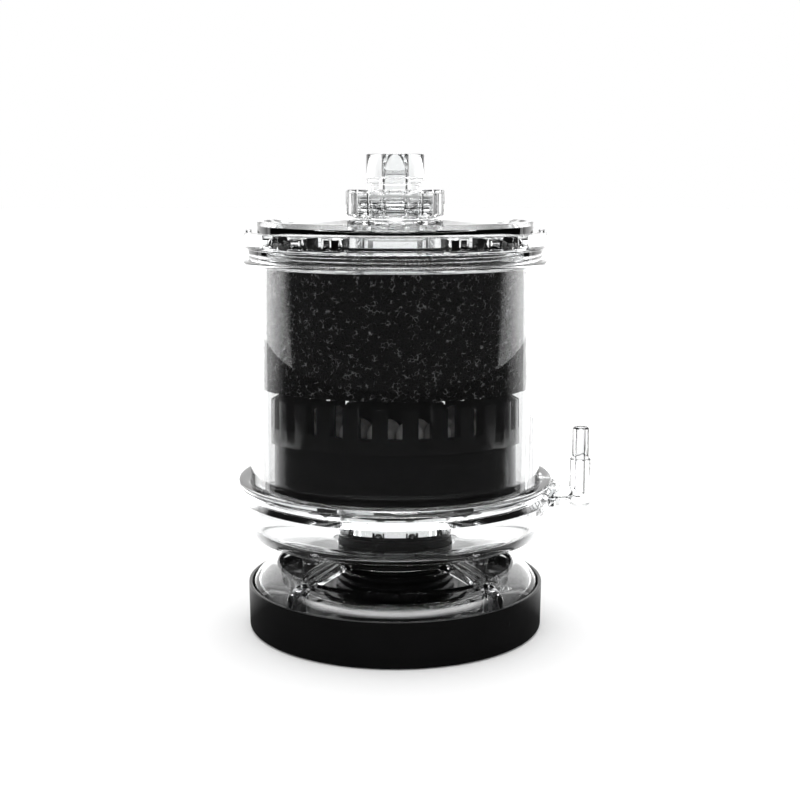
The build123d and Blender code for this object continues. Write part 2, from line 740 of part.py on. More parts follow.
with BuildPart() as drum_clips:
    for clip_angle in clip_angles:
        clip_plane = Plane.YZ.rotated((0, 0, clip_angle)).offset(clip_radius)
        with BuildSketch(clip_plane) as clip_outline:
            with BuildLine():
                Polyline(
                    (-clip_width / 2, drum_bottom),
                    (-clip_width / 2, drum_bottom - clip_height),
                    (0, drum_bottom - clip_height - clip_point),
                    (clip_width / 2, drum_bottom - clip_height),
                    (clip_width / 2, drum_bottom),
                    close=True,
                )
            make_face()
        extrude(amount=clip_thickness - running_fit)

with BuildPart() as slotted_ring:
    with BuildSketch(Plane.XZ) as slotted_section:
        with BuildLine():
            Polyline(
                (slotted_radius - slotted_wall, drum_top),
                (slotted_radius, drum_top),
                (slotted_radius, slotted_edge),
                (slotted_top_radius, slotted_top),
                (slotted_radius - slotted_wall, slotted_top),
                close=True,
            )
        make_face()
        ring_profile(slotted_lip_radius - slotted_lip_wall, slotted_lip_radius,
                     drum_top - slotted_lip_height, drum_top + slotted_lip_wall)
    revolve(axis=Axis.Z)
    with BuildSketch(Plane.XY.offset(slot_bottom)) as ring_slots:
        with PolarLocations(slotted_radius, slot_count, start_angle=270):
            Rectangle(2 * slotted_wall + slot_width, slot_width)
    extrude(amount=slotted_top - slot_bottom, mode=Mode.SUBTRACT)

media_pitch = 2 * media_radius + body_gap
media_layer_pitch = media_layer_share * media_radius
media_outer_ring = slotted_lip_radius - slotted_lip_wall - media_gap - media_radius
media_inner_limit = drum_collar_bore + drum_collar_wall + media_gap + media_radius
media_ring_count = 1 + int((media_outer_ring - media_inner_limit) / media_pitch)
media_start = drum_bottom + drum_floor + media_radius + loose_fit
media_layers = 1 + int((slotted_top - media_radius - media_start) / media_layer_pitch)

with BuildPart() as ceramic_media:
    for layer in range(media_layers):
        for ring in range(media_ring_count):
            radius = media_outer_ring - ring * media_pitch
            ball_step = 2 * degrees(asin((2 * media_radius + media_side_gap) / (2 * radius)))
            ball_count = int(360 / ball_step)
            half_step = (layer % 2) * 180 / ball_count
            with Locations(Plane.XY.offset(media_start + layer * media_layer_pitch)):
                with PolarLocations(radius, ball_count, start_angle=half_step):
                    Sphere(media_radius)

with BuildPart() as riser_tube:
    with BuildSketch(Plane.XY.offset(drum_bottom)) as riser_outline:
        Circle(riser_radius)
        Circle(riser_bore, mode=Mode.SUBTRACT)
    extrude(amount=riser_top - drum_bottom)

with BuildPart() as foam_ring:
    with BuildSketch(Plane.XY.offset(foam_bottom)) as foam_outline:
        Circle(foam_radius)
        Circle(riser_radius + body_gap, mode=Mode.SUBTRACT)
    extrude(amount=foam_top - foam_bottom)

# ======== body tube ========

with BuildPart() as body_tube:
    with BuildSketch(Plane.XZ) as tube_section:
        ring_profile(tube_bore, tube_radius, tube_bottom, tube_top)
        ring_profile(tube_bore, bead_radius, bead_bottom, bead_bottom + bead_height)
    revolve(axis=Axis.Z)

# ======== lid ========

window_bottom = lid_bottom + (lid_flange_height - lid_window_height) / 2
window_azimuths = [
    front + side * angle for front in (90, 270) for side in (-1, 1) for angle in lid_window_angles
]
plug_groove_bottom = lid_bottom - plug_seal_drop - seal_height
boss_ridge_count = int((boss_top - lid_plate_inner) / boss_thread_pitch)

with BuildPart() as lid:
    with BuildSketch(Plane.XZ) as lid_section:
        ring_profile(lid_hollow_radius, lid_radius, lid_bottom, lid_flange_top)
        ring_profile(lid_hollow_radius - lid_step_wall, lid_hollow_radius,
                     lid_plate_outer - lid_plate, lid_step_top)
        ring_profile(lid_hollow_radius - lid_step_wall, lid_radius,
                     lid_plate_outer - lid_plate, lid_flange_top)
        ring_profile(plug_radius - plug_wall, lid_radius, lid_bottom, window_bottom)
        ring_profile(plug_radius - plug_wall, plug_radius, plug_bottom, lid_bottom)
        with BuildLine():
            Polyline(
                (lid_hollow_radius, lid_plate_outer - lid_plate),
                (lid_hollow_radius, lid_plate_outer),
                (boss_thread_root, lid_plate_inner),
                (boss_thread_root, boss_top),
                (boss_bore_radius, boss_top),
                (boss_bore_radius, lid_plate_inner - lid_plate),
                (lid_tube_radius, lid_plate_inner - lid_plate),
                close=True,
            )
        make_face()
        ring_profile(lid_tube_radius - lid_tube_wall, lid_tube_radius, lid_tube_bottom,
                     lid_plate_inner - lid_plate / 2)
        ridge_profile(
            boss_thread_root, boss_thread_radius, lid_plate_inner + boss_thread_width / 2,
            boss_ridge_count, boss_thread_pitch, boss_thread_width,
        )
    revolve(axis=Axis.Z)
    for azimuth in window_azimuths:
        window_plane = Plane.YZ.rotated((0, 0, azimuth)).offset(lid_hollow_radius - lid_step_wall)
        with BuildSketch(window_plane) as lid_window:
            with Locations((0, window_bottom + lid_window_height / 2)):
                Rectangle(lid_window_width, lid_window_height)
        extrude(amount=lid_radius, mode=Mode.SUBTRACT)
    with BuildSketch(Plane.XY.offset(lid_flange_top)) as finger_tabs:
        with PolarLocations(lid_radius - finger_tab_width, 2):
            Rectangle(finger_tab_width, finger_tab_length)
    extrude(amount=finger_tab_height)
    with BuildSketch(Plane.XZ) as plug_groove:
        ring_profile(plug_radius - seal_width, plug_radius + seal_width,
                     plug_groove_bottom, plug_groove_bottom + seal_height)
    revolve(axis=Axis.Z, mode=Mode.SUBTRACT)

with BuildPart() as lid_seal:
    with BuildSketch(Plane.XZ) as lid_seal_section:
        ring_profile(plug_radius - seal_width + seal_fit, tube_bore - seal_fit,
                     plug_groove_bottom + seal_fit, plug_groove_bottom + seal_height - seal_fit)
    revolve(axis=Axis.Z)
    fillet(lid_seal.edges(), seal_edge)

with BuildPart() as window_guard:
    with BuildSketch(Plane.XY.offset(window_bottom)) as guard_ring:
        Circle(guard_inner_radius + guard_ring_width)
        Circle(guard_inner_radius, mode=Mode.SUBTRACT)
    extrude(amount=guard_ring_height)
    with BuildSketch(Plane.XY.offset(window_bottom)) as guard_teeth:
        for azimuth in window_azimuths:
            with PolarLocations((guard_inner_radius + guard_outer_radius) / 2, 1, start_angle=azimuth):
                Rectangle(guard_outer_radius - guard_inner_radius - loose_fit, guard_tooth_width)
    extrude(amount=lid_window_height)

# ======== nozzle and ring nut ========

nozzle_groove_bottom = nozzle_bottom + seal_height

with BuildPart() as outlet_nozzle:
    with BuildSketch(Plane.XZ) as nozzle_section:
        ring_profile(nozzle_bore_radius, nozzle_neck_radius, nozzle_bottom, nozzle_cup_bottom)
        ring_profile(nozzle_bore_radius, nozzle_flange_radius, nozzle_flange_bottom, nozzle_flange_top)
        ring_profile(nozzle_bore_radius, nozzle_cup_radius, nozzle_cup_bottom,
                     nozzle_cup_bottom + nozzle_cup_floor)
        ring_profile(nozzle_cup_radius - nozzle_cup_wall, nozzle_cup_radius, nozzle_cup_bottom,
                     nozzle_top)
        ring_profile(nozzle_bore_radius, nozzle_core_radius, nozzle_cup_bottom, nozzle_top)
    revolve(axis=Axis.Z)
    with BuildSketch(Plane.XZ) as nozzle_groove:
        ring_profile(nozzle_neck_radius - nozzle_seal_width, nozzle_neck_radius + running_fit,
                     nozzle_groove_bottom, nozzle_groove_bottom + seal_height)
    revolve(axis=Axis.Z, mode=Mode.SUBTRACT)

with BuildPart() as nozzle_seal:
    with BuildSketch(Plane.XZ) as nozzle_seal_section:
        ring_profile(nozzle_neck_radius - nozzle_seal_width + seal_fit, boss_bore_radius - seal_fit,
                     nozzle_groove_bottom + seal_fit, nozzle_groove_bottom + seal_height - seal_fit)
    revolve(axis=Axis.Z)
    fillet(nozzle_seal.edges(), nozzle_seal_edge)

with BuildPart() as nut_washer:
    with BuildSketch(Plane.XY.offset(washer_bottom)) as washer_outline:
        Circle(nozzle_flange_radius)
        Circle(nozzle_neck_radius + running_fit, mode=Mode.SUBTRACT)
    extrude(amount=washer_thickness)

with BuildPart() as ring_nut:
    with BuildSketch(Plane.XZ) as nut_section:
        ring_profile(boss_thread_radius + running_fit, nut_radius, nut_bottom, nut_top)
        ring_profile(nozzle_neck_radius + running_fit, nut_radius, nut_top - nut_plate, nut_top)
    revolve(axis=Axis.Z)
    chamfer(
        ring_nut.edges().filter_by(GeomType.CIRCLE).group_by(SortBy.RADIUS)[-1],
        nut_edge,
    )
    with BuildSketch(Plane.XY.offset(nut_bottom)) as nut_flutes:
        with PolarLocations(nut_radius + nut_flute_radius / 2, nut_flute_count):
            Circle(nut_flute_radius)
    extrude(amount=nut_top - nut_bottom, mode=Mode.SUBTRACT)

# ======== files ========

pieces = {
    "base_pad": base_pad,
    "base_shell": base_shell,
    "ballast_ring": ballast_ring,
    "base_deck": base_deck,
    "dome": dome,
    "dome_screws": dome_screws,
    "neck_collar": neck_collar,
    "neck": neck,
    "neck_gasket": neck_gasket,
    "neck_flange": neck_flange,
    "neck_screws": neck_screws,
    "bowl": bowl,
    "bowl_seal": bowl_seal,
    "elbow_seal": elbow_seal,
    "air_elbow": air_elbow,
    "air_pipe": air_pipe,
    "air_stone": air_stone,
    "lift_chamber": lift_chamber,
    "media_drum": media_drum,
    "drum_clips": drum_clips,
    "slotted_ring": slotted_ring,
    "ceramic_media": ceramic_media,
    "riser_tube": riser_tube,
    "foam_ring": foam_ring,
    "body_tube": body_tube,
    "lid": lid,
    "lid_seal": lid_seal,
    "window_guard": window_guard,
    "outlet_nozzle": outlet_nozzle,
    "nozzle_seal": nozzle_seal,
    "nut_washer": nut_washer,
    "ring_nut": ring_nut,
}
for label, piece in pieces.items():
    piece.part.label = label
    export_step(piece.part, f"parts/{label}.step")
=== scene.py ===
"""Visual model of a clear, air-driven, in-tank skimmer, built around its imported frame."""

import logging
from dataclasses import dataclass, field
from enum import Enum
from math import cos, pi, radians, sin, tau

import bmesh
import bpy
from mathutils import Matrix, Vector, noise


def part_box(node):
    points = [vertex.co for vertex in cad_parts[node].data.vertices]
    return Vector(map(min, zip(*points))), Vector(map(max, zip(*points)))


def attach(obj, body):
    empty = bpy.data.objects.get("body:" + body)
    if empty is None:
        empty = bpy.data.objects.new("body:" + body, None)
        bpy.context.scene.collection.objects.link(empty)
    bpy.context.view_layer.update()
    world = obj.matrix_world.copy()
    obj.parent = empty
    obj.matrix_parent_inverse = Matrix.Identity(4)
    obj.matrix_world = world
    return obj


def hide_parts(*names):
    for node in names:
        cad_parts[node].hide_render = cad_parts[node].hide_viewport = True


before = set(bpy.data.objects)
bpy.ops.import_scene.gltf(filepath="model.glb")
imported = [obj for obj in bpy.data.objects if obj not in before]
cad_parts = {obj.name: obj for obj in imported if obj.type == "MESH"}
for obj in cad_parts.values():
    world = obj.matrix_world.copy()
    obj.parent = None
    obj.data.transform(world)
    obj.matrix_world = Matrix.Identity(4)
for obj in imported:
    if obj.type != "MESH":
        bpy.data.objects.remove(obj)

MM = 0.001
WELD = 0.002 * MM        # points closer than this are one point
RUNNING_GAP = 0.08 * MM  # between pieces that slide or turn in each other
SEAL_GAP = 0.05 * MM     # between a seal and its groove
HEAD_GAP = 0.1 * MM      # round a screw's head
GRAIN = 0.02 * MM        # height of a moulded surface's grain
OVERLAP = 0.01 * MM      # how far a joined piece reaches into its neighbour
ORIGIN = (0.0, 0.0, 0.0)
Outline = list[tuple[float, float]]
Point = tuple[float, float, float]

logging.basicConfig(level=logging.INFO, format="%(relativeCreated)8.0f ms  %(message)s")
log = logging.getLogger("skimmer")

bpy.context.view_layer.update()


class Cut(Enum):
    """How a cutter meets the piece it is applied to."""

    AWAY = "DIFFERENCE"
    JOIN = "UNION"
    KEEP = "INTERSECT"


# ---------------------------------------------------------------- workshop


class Workshop:
    """Hand tools: turning, drilling, milling and rounding of single pieces."""

    def __init__(self, turn_steps: int = 144) -> None:
        """Sets how many steps a full turn has.

        Args:
            turn_steps: Number of steps in a turned piece.
        """
        self.turn_steps = turn_steps

    @staticmethod
    def deselect() -> None:
        """Leaves object mode with nothing selected."""
        if bpy.context.object is not None and bpy.context.object.mode != "OBJECT":
            bpy.ops.object.mode_set(mode="OBJECT")
        bpy.ops.object.select_all(action="DESELECT")

    @classmethod
    def pick(cls, *pieces: bpy.types.Object) -> None:
        """Selects the pieces, with the first of them active."""
        cls.deselect()
        for piece in pieces:
            piece.select_set(True)
        bpy.context.view_layer.objects.active = pieces[0]

    @classmethod
    def settle(cls, piece: bpy.types.Object) -> bpy.types.Object:
        """Moves a piece's place into its mesh, so that its object sits at the origin.

        Args:
            piece: The piece to settle.

        Returns:
            The same piece.
        """
        cls.pick(piece)
        bpy.ops.object.transform_apply(location=True, rotation=True, scale=True)
        return piece

    def turn(self, name: str, outline: Outline, steps: int | None = None) -> bpy.types.Object:
        """Turns a closed outline about the upright axis, as on a lathe.

        Args:
            name: Name of the finished piece.
            outline: Radius and height of each corner, in order round the section.
            steps: Steps in the full turn, or the shop's own number.

        Returns:
            The turned piece.
        """
        self.deselect()
        first, last = outline[0], outline[-1]
        on_axis = first[0] == 0.0 and last[0] == 0.0
        route = outline if on_axis else outline + [first]
        bpy.ops.mesh.primitive_plane_add(size=MM, location=(first[0], 0.0, first[1]))
        piece = self.settle(bpy.context.object)
        piece.name = name
        bpy.ops.object.mode_set(mode="EDIT")
        bpy.ops.mesh.select_all(action="SELECT")
        bpy.ops.mesh.merge(type="CENTER")
        for here, there in zip(route, route[1:]):
            step = (there[0] - here[0], 0.0, there[1] - here[1])
            bpy.ops.mesh.extrude_region_move(TRANSFORM_OT_translate={"value": step})
        bpy.ops.mesh.select_all(action="SELECT")
        bpy.ops.mesh.spin(
            steps=steps or self.turn_steps, angle=tau, center=ORIGIN, axis=(0.0, 0.0, 1.0),
        )
        bpy.ops.mesh.select_all(action="SELECT")
        bpy.ops.mesh.remove_doubles(threshold=WELD)
        bpy.ops.mesh.dissolve_degenerate(threshold=WELD)
        bpy.ops.mesh.select_all(action="SELECT")
        bpy.ops.mesh.normals_make_consistent(inside=False)
        bpy.ops.object.mode_set(mode="OBJECT")
        return piece

    def block(self, name: str, size: Point, centre: Point, azimuth: float = 0.0,
              edge: float = 0.0) -> bpy.types.Object:
        """Makes a block with rounded edges, centred on a point and turned about the axis.

        Args:
            name: Name of the block.
            size: Its lengths along its own X, Y and Z.
            centre: Its centre before it is turned about the upright axis.
            azimuth: Turn about the upright axis, in degrees.
            edge: Rounding of its edges.

        Returns:
            The block.
        """
        self.deselect()
        bpy.ops.mesh.primitive_cube_add(size=1.0, location=centre)
        piece = bpy.context.object
        piece.name = name
        piece.scale = size
        self.settle(piece)
        if edge > 0.0:
            self.round_edges(piece, edge, segments=2)
        piece.rotation_euler = (0.0, 0.0, radians(azimuth))
        return self.settle(piece)

    def rod(self, name: str, radius: float, start: Point, length: float, along: str = "Z",
            steps: int = 48) -> bpy.types.Object:
        """Makes a round rod from a start point along one axis.

        Args:
            name: Name of the rod.
            radius: Its radius.
            start: Centre of its first face.
            length: Its length along the axis.
            along: "X" or "Z".
            steps: Steps round it.

        Returns:
            The rod.
        """
        self.deselect()
        offset = Vector((length / 2, 0.0, 0.0)) if along == "X" else Vector((0.0, 0.0, length / 2))
        bpy.ops.mesh.primitive_cylinder_add(
            vertices=steps, radius=radius, depth=length, location=Vector(start) + offset,
            rotation=(0.0, pi / 2, 0.0) if along == "X" else ORIGIN,
        )
        piece = bpy.context.object
        piece.name = name
        return self.settle(piece)

    def copies(self, piece: bpy.types.Object, azimuths: list[float]) -> list[bpy.types.Object]:
        """Places copies of a piece round the axis, each with a mesh of its own.

        Args:
            piece: The piece as modelled, which becomes the first copy.
            azimuths: Turn of each copy, in degrees.

        Returns:
            All of them.
        """
        made = []
        for azimuth in azimuths:
            twin = piece.copy()
            twin.data = piece.data.copy()
            bpy.context.scene.collection.objects.link(twin)
            twin.rotation_euler = (0.0, 0.0, radians(azimuth))
            made.append(self.settle(twin))
        self.scrap(piece)
        return made

    def pattern(self, piece: bpy.types.Object, azimuths: list[float],
                name: str = "pattern") -> bpy.types.Object:
        """Repeats a piece round the axis, as one object.

        Args:
            piece: The piece as modelled.
            azimuths: Turn of each copy, in degrees.
            name: Name of the whole.

        Returns:
            All the copies, joined.
        """
        return self.join(name, self.copies(piece, azimuths))

    def move(self, piece: bpy.types.Object, out: float) -> bpy.types.Object:
        """Moves a piece outward along X, and settles it there."""
        piece.location = (out, 0.0, 0.0)
        return self.settle(piece)

    def join(self, name: str, pieces: list[bpy.types.Object]) -> bpy.types.Object:
        """Joins separate solids into one object."""
        self.pick(*pieces)
        if len(pieces) > 1:
            bpy.ops.object.join()
        whole = bpy.context.view_layer.objects.active
        whole.name = name
        return whole

    @staticmethod
    def scrap(piece: bpy.types.Object) -> None:
        """Throws a piece away with its mesh."""
        mesh = piece.data
        bpy.data.objects.remove(piece)
        bpy.data.meshes.remove(mesh)

    def mill(self, piece: bpy.types.Object, tool: bpy.types.Object, cut: Cut = Cut.AWAY) -> None:
        """Cuts a tool's shape away from a piece, joins it on, or keeps what they share.

        Args:
            piece: The piece that is worked on.
            tool: The solid that is applied, which is thrown away after.
            cut: What is done with the tool's shape.
        """
        self.pick(piece)
        modifier = piece.modifiers.new("mill", "BOOLEAN")
        modifier.operation = cut.value
        modifier.solver = "EXACT"
        modifier.object = tool
        bpy.ops.object.modifier_apply(modifier=modifier.name)
        self.scrap(tool)
        if cut is not Cut.KEEP:  # what is kept goes onto another piece, and is welded there
            self.weld(piece)

    @classmethod
    def weld(cls, piece: bpy.types.Object) -> None:
        """Merges the coincident points and drops the slivers that a cut can leave."""
        cls.pick(piece)
        bpy.ops.object.mode_set(mode="EDIT")
        bpy.ops.mesh.select_all(action="SELECT")
        bpy.ops.mesh.remove_doubles(threshold=WELD)
        bpy.ops.mesh.dissolve_degenerate(threshold=WELD)
        bpy.ops.object.mode_set(mode="OBJECT")

    def round_edges(self, piece: bpy.types.Object, width: float, segments: int = 3,
                    angle: float = 30.0) -> None:
        """Rounds every edge that is sharper than an angle.

        Args:
            piece: The piece to round.
            width: Width of the rounding.
            segments: Steps across the rounding.
            angle: Smallest angle that is rounded, in degrees.
        """
        self.pick(piece)
        modifier = piece.modifiers.new("round", "BEVEL")
        modifier.width = width
        modifier.segments = segments
        modifier.limit_method = "ANGLE"
        modifier.angle_limit = radians(angle)
        modifier.use_clamp_overlap = True
        bpy.ops.object.modifier_apply(modifier=modifier.name)

    def smooth(self, piece: bpy.types.Object, angle: float = 32.0) -> bpy.types.Object:
        """Shades a piece smooth across edges flatter than an angle."""
        self.pick(piece)
        bpy.ops.object.shade_smooth_by_angle(angle=radians(angle))
        return piece


def arc(centre: tuple[float, float], radius: float, start: float, end: float,
        steps: int = 6) -> Outline:
    """Points of a round stretch of an outline.

    Args:
        centre: Radius and height of the arc's centre.
        radius: The arc's radius.
        start: Angle of its first point, in degrees.
        end: Angle of its last point, in degrees.
        steps: Steps along it.

    Returns:
        The points, both ends among them.
    """
    angles = [radians(start + (end - start) * k / steps) for k in range(steps + 1)]
    return [(centre[0] + radius * cos(a), centre[1] + radius * sin(a)) for a in angles]


def ring(inner: float, outer: float, bottom: float, top: float) -> Outline:
    """Outline of a plain ring."""
    return [(inner, bottom), (outer, bottom), (outer, top), (inner, top)]


def around(count: int, start: float = 0.0) -> list[float]:
    """Evenly spaced azimuths of a full turn, in degrees."""
    return [start + 360.0 / count * k for k in range(count)]


# ---------------------------------------------------------------- effects


class Effects:
    """Shader node groups that several finishes share."""

    def __init__(self) -> None:
        """Builds each group once."""
        self.handling = self._handling()
        self.mottle = self._mottle()

    @staticmethod
    def _group(name: str, inputs: dict[str, float], outputs: list[str]) -> bpy.types.NodeTree:
        """Starts a group with named value inputs and outputs.

        Args:
            name: Name of the group.
            inputs: Each input's name and usual value.
            outputs: Each output's name.

        Returns:
            The group, with its input and output nodes placed.
        """
        tree = bpy.data.node_groups.new(name, "ShaderNodeTree")
        for label, value in inputs.items():
            socket = tree.interface.new_socket(label, in_out="INPUT", socket_type="NodeSocketFloat")
            socket.default_value = value
        for label in outputs:
            tree.interface.new_socket(label, in_out="OUTPUT", socket_type="NodeSocketFloat")
        tree.nodes.new("NodeGroupInput")
        tree.nodes.new("NodeGroupOutput")
        return tree

    def _handling(self) -> bpy.types.NodeTree:
        """Fine rubbed marks of handling: a mask of short hairlines and faint smudges."""
        tree = self._group("handling_marks", {"Scale": 90.0, "Amount": 1.0}, ["Mask"])
        source, sink = tree.nodes["Group Input"], tree.nodes["Group Output"]
        place = tree.nodes.new("ShaderNodeTexCoord")
        stretch = tree.nodes.new("ShaderNodeMapping")
        stretch.inputs["Scale"].default_value = (1.0, 1.0, 0.12)
        hair = tree.nodes.new("ShaderNodeTexNoise")
        hair.inputs["Detail"].default_value = 6.0
        smudge = tree.nodes.new("ShaderNodeTexNoise")
        smudge.inputs["Scale"].default_value = 38.0
        smudge.inputs["Detail"].default_value = 3.0
        blend = tree.nodes.new("ShaderNodeMath")
        blend.operation = "MULTIPLY"
        level = tree.nodes.new("ShaderNodeMath")
        level.operation = "MULTIPLY"
        link = tree.links.new
        link(place.outputs["Object"], stretch.inputs["Vector"])
        link(stretch.outputs["Vector"], hair.inputs["Vector"])
        link(place.outputs["Object"], smudge.inputs["Vector"])
        link(source.outputs["Scale"], hair.inputs["Scale"])
        link(hair.outputs["Fac"], blend.inputs[0])
        link(smudge.outputs["Fac"], blend.inputs[1])
        link(blend.outputs["Value"], level.inputs[0])
        link(source.outputs["Amount"], level.inputs[1])
        link(level.outputs["Value"], sink.inputs["Mask"])
        return tree

    def _mottle(self) -> bpy.types.NodeTree:
        """Slow, even variation across a surface, from 0 to 1."""
        tree = self._group("mottle", {"Scale": 60.0, "Detail": 4.0}, ["Value"])
        source, sink = tree.nodes["Group Input"], tree.nodes["Group Output"]
        place = tree.nodes.new("ShaderNodeTexCoord")
        cloud = tree.nodes.new("ShaderNodeTexNoise")
        link = tree.links.new
        link(place.outputs["Object"], cloud.inputs["Vector"])
        link(source.outputs["Scale"], cloud.inputs["Scale"])
        link(source.outputs["Detail"], cloud.inputs["Detail"])
        link(cloud.outputs["Fac"], sink.inputs["Value"])
        return tree


class Canvas:
    """A new material's node tree, with short ways to add and join nodes."""

    def __init__(self, name: str) -> None:
        """Starts a material with one Principled shader.

        Args:
            name: Name of the material.
        """
        self.material = bpy.data.materials.new(name)
        self.material.use_nodes = True
        self.tree = self.material.node_tree
        self.shader = self.tree.nodes["Principled BSDF"]
        self.output = self.tree.nodes["Material Output"]

    def put(self, kind: str, **settings: object) -> bpy.types.Node:
        """Adds a node; settings are its attributes, or its inputs where the name is an input's.

        Args:
            kind: Blender's name for the node.
            **settings: Attribute values, or input values with spaces written as underscores.

        Returns:
            The node.
        """
        node = self.tree.nodes.new(kind)
        for key, value in settings.items():
            label = key.replace("_", " ")
            if label in node.inputs:
                node.inputs[label].default_value = value
            else:
                setattr(node, key, value)
        return node

    def group(self, tree: bpy.types.NodeTree, **values: float) -> bpy.types.Node:
        """Places a shared effect with its own values."""
        node = self.tree.nodes.new("ShaderNodeGroup")
        node.node_tree = tree
        for label, value in values.items():
            node.inputs[label].default_value = value
        return node

    def join(self, start: bpy.types.NodeSocket, end: bpy.types.NodeSocket) -> None:
        """Links two sockets."""
        self.tree.links.new(start, end)

    def span(self, value: bpy.types.NodeSocket, low: float, high: float,
             start: float = 0.0, stop: float = 1.0) -> bpy.types.NodeSocket:
        """Maps a value onto a range.

        Args:
            value: The value to map.
            low: Result where the value is start.
            high: Result where the value is stop.
            start: Lower end of the value.
            stop: Upper end of the value.

        Returns:
            The mapped value's socket.
        """
        node = self.put("ShaderNodeMapRange")
        node.inputs["From Min"].default_value = start
        node.inputs["From Max"].default_value = stop
        node.inputs["To Min"].default_value = low
        node.inputs["To Max"].default_value = high
        self.join(value, node.inputs["Value"])
        return node.outputs["Result"]

    def shade(self, value: bpy.types.NodeSocket, dark: Point, light: Point) -> bpy.types.NodeSocket:
        """Blends two colours by a value.

        Args:
            value: Share of the light colour.
            dark: Colour at 0.
            light: Colour at 1.

        Returns:
            The blended colour's socket.
        """
        node = self.put("ShaderNodeMix", data_type="RGBA")
        node.inputs[6].default_value = (*dark, 1.0)
        node.inputs[7].default_value = (*light, 1.0)
        self.join(value, node.inputs[0])
        return node.outputs[2]

    def bump(self, height: bpy.types.NodeSocket, strength: float, distance: float) -> None:
        """Raises the surface by a height pattern.

        Args:
            height: The pattern.
            strength: Bump strength, 0 to 1.
            distance: Real height of the pattern, in metres.
        """
        node = self.put("ShaderNodeBump", Strength=strength, Distance=distance)
        self.join(height, node.inputs["Height"])
        self.join(node.outputs["Normal"], self.shader.inputs["Normal"])


# ---------------------------------------------------------------- finishes


@dataclass(frozen=True)
class Finish:
    """A surface finish, which paints one material."""

    name: str
    slot: str

    def make(self, effects: Effects) -> bpy.types.Material:
        """Builds the material.

        Args:
            effects: The shared effects.

        Returns:
            The material.
        """
        canvas = Canvas(self.name)
        self.paint(canvas, effects)
        return canvas.material


@dataclass(frozen=True)
class ClearAcrylic(Finish):
    """Polished clear acrylic with faint handling marks."""

    name: str = "clear_acrylic"
    slot: str = "clear_acrylic"
    tint: Point = (0.985, 0.99, 0.992)
    ior: float = 1.49
    roughness: tuple[float, float] = (0.0, 0.035)

    def paint(self, canvas: Canvas, effects: Effects) -> None:
        """Joins the finish's nodes to the shader.

        Args:
            canvas: The material's canvas.
            effects: The shared effects.
        """
        shader = canvas.shader
        marks = canvas.group(effects.handling, Scale=120.0, Amount=1.0)
        cloud = canvas.group(effects.mottle, Scale=30.0, Detail=2.0)
        pale = tuple(min(1.0, channel + 0.01) for channel in self.tint)
        canvas.join(canvas.shade(cloud.outputs["Value"], self.tint, pale), shader.inputs["Base Color"])
        low, high = self.roughness
        canvas.join(canvas.span(marks.outputs["Mask"], low, high, 0.2, 0.5), shader.inputs["Roughness"])
        shader.inputs["IOR"].default_value = self.ior
        shader.inputs["Transmission Weight"].default_value = 1.0
        lamp_path = canvas.put("ShaderNodeLightPath")
        through = canvas.put("ShaderNodeBsdfTransparent", Color=(0.94, 0.94, 0.94, 1.0))
        choice = canvas.put("ShaderNodeMixShader")
        canvas.join(lamp_path.outputs["Is Shadow Ray"], choice.inputs[0])
        canvas.join(shader.outputs[0], choice.inputs[1])
        canvas.join(through.outputs[0], choice.inputs[2])
        canvas.join(choice.outputs[0], canvas.output.inputs["Surface"])


@dataclass(frozen=True)
class BlackPlastic(Finish):
    """Black moulded plastic with a soft sheen and fine mould texture."""

    name: str = "black_plastic"
    slot: str = "black_plastic"
    dark: Point = (0.0018, 0.0018, 0.0019)
    light: Point = (0.0042, 0.0042, 0.0044)
    roughness: tuple[float, float] = (0.16, 0.3)
    specular: float = 0.3

    def paint(self, canvas: Canvas, effects: Effects) -> None:
        """Joins the finish's nodes to the shader.

        Args:
            canvas: The material's canvas.
            effects: The shared effects.
        """
        shader = canvas.shader
        cloud = canvas.group(effects.mottle, Scale=90.0, Detail=5.0)
        marks = canvas.group(effects.handling, Scale=160.0, Amount=1.0)
        grain = canvas.group(effects.mottle, Scale=2600.0, Detail=2.0)
        canvas.join(canvas.shade(cloud.outputs["Value"], self.dark, self.light),
                    shader.inputs["Base Color"])
        low, high = self.roughness
        canvas.join(canvas.span(marks.outputs["Mask"], low, high, 0.15, 0.5),
                    shader.inputs["Roughness"])
        shader.inputs["Specular IOR Level"].default_value = self.specular
        canvas.bump(grain.outputs["Value"], 0.25, GRAIN)


@dataclass(frozen=True)
class Rubber(Finish):
    """Matt rubber or moulded plastic with a faint bloom."""

    dark: Point
    light: Point
    roughness: float = 0.6
    spread: float = 0.1

    def paint(self, canvas: Canvas, effects: Effects) -> None:
        """Joins the finish's nodes to the shader.

        Args:
            canvas: The material's canvas.
            effects: The shared effects.
        """
        shader = canvas.shader
        bloom = canvas.group(effects.mottle, Scale=140.0, Detail=6.0)
        grain = canvas.group(effects.mottle, Scale=3200.0, Detail=2.0)
        canvas.join(canvas.shade(bloom.outputs["Value"], self.dark, self.light),
                    shader.inputs["Base Color"])
        low, high = self.roughness - self.spread, self.roughness + self.spread
        canvas.join(canvas.span(bloom.outputs["Value"], low, high), shader.inputs["Roughness"])
        canvas.bump(grain.outputs["Value"], 0.3, GRAIN)


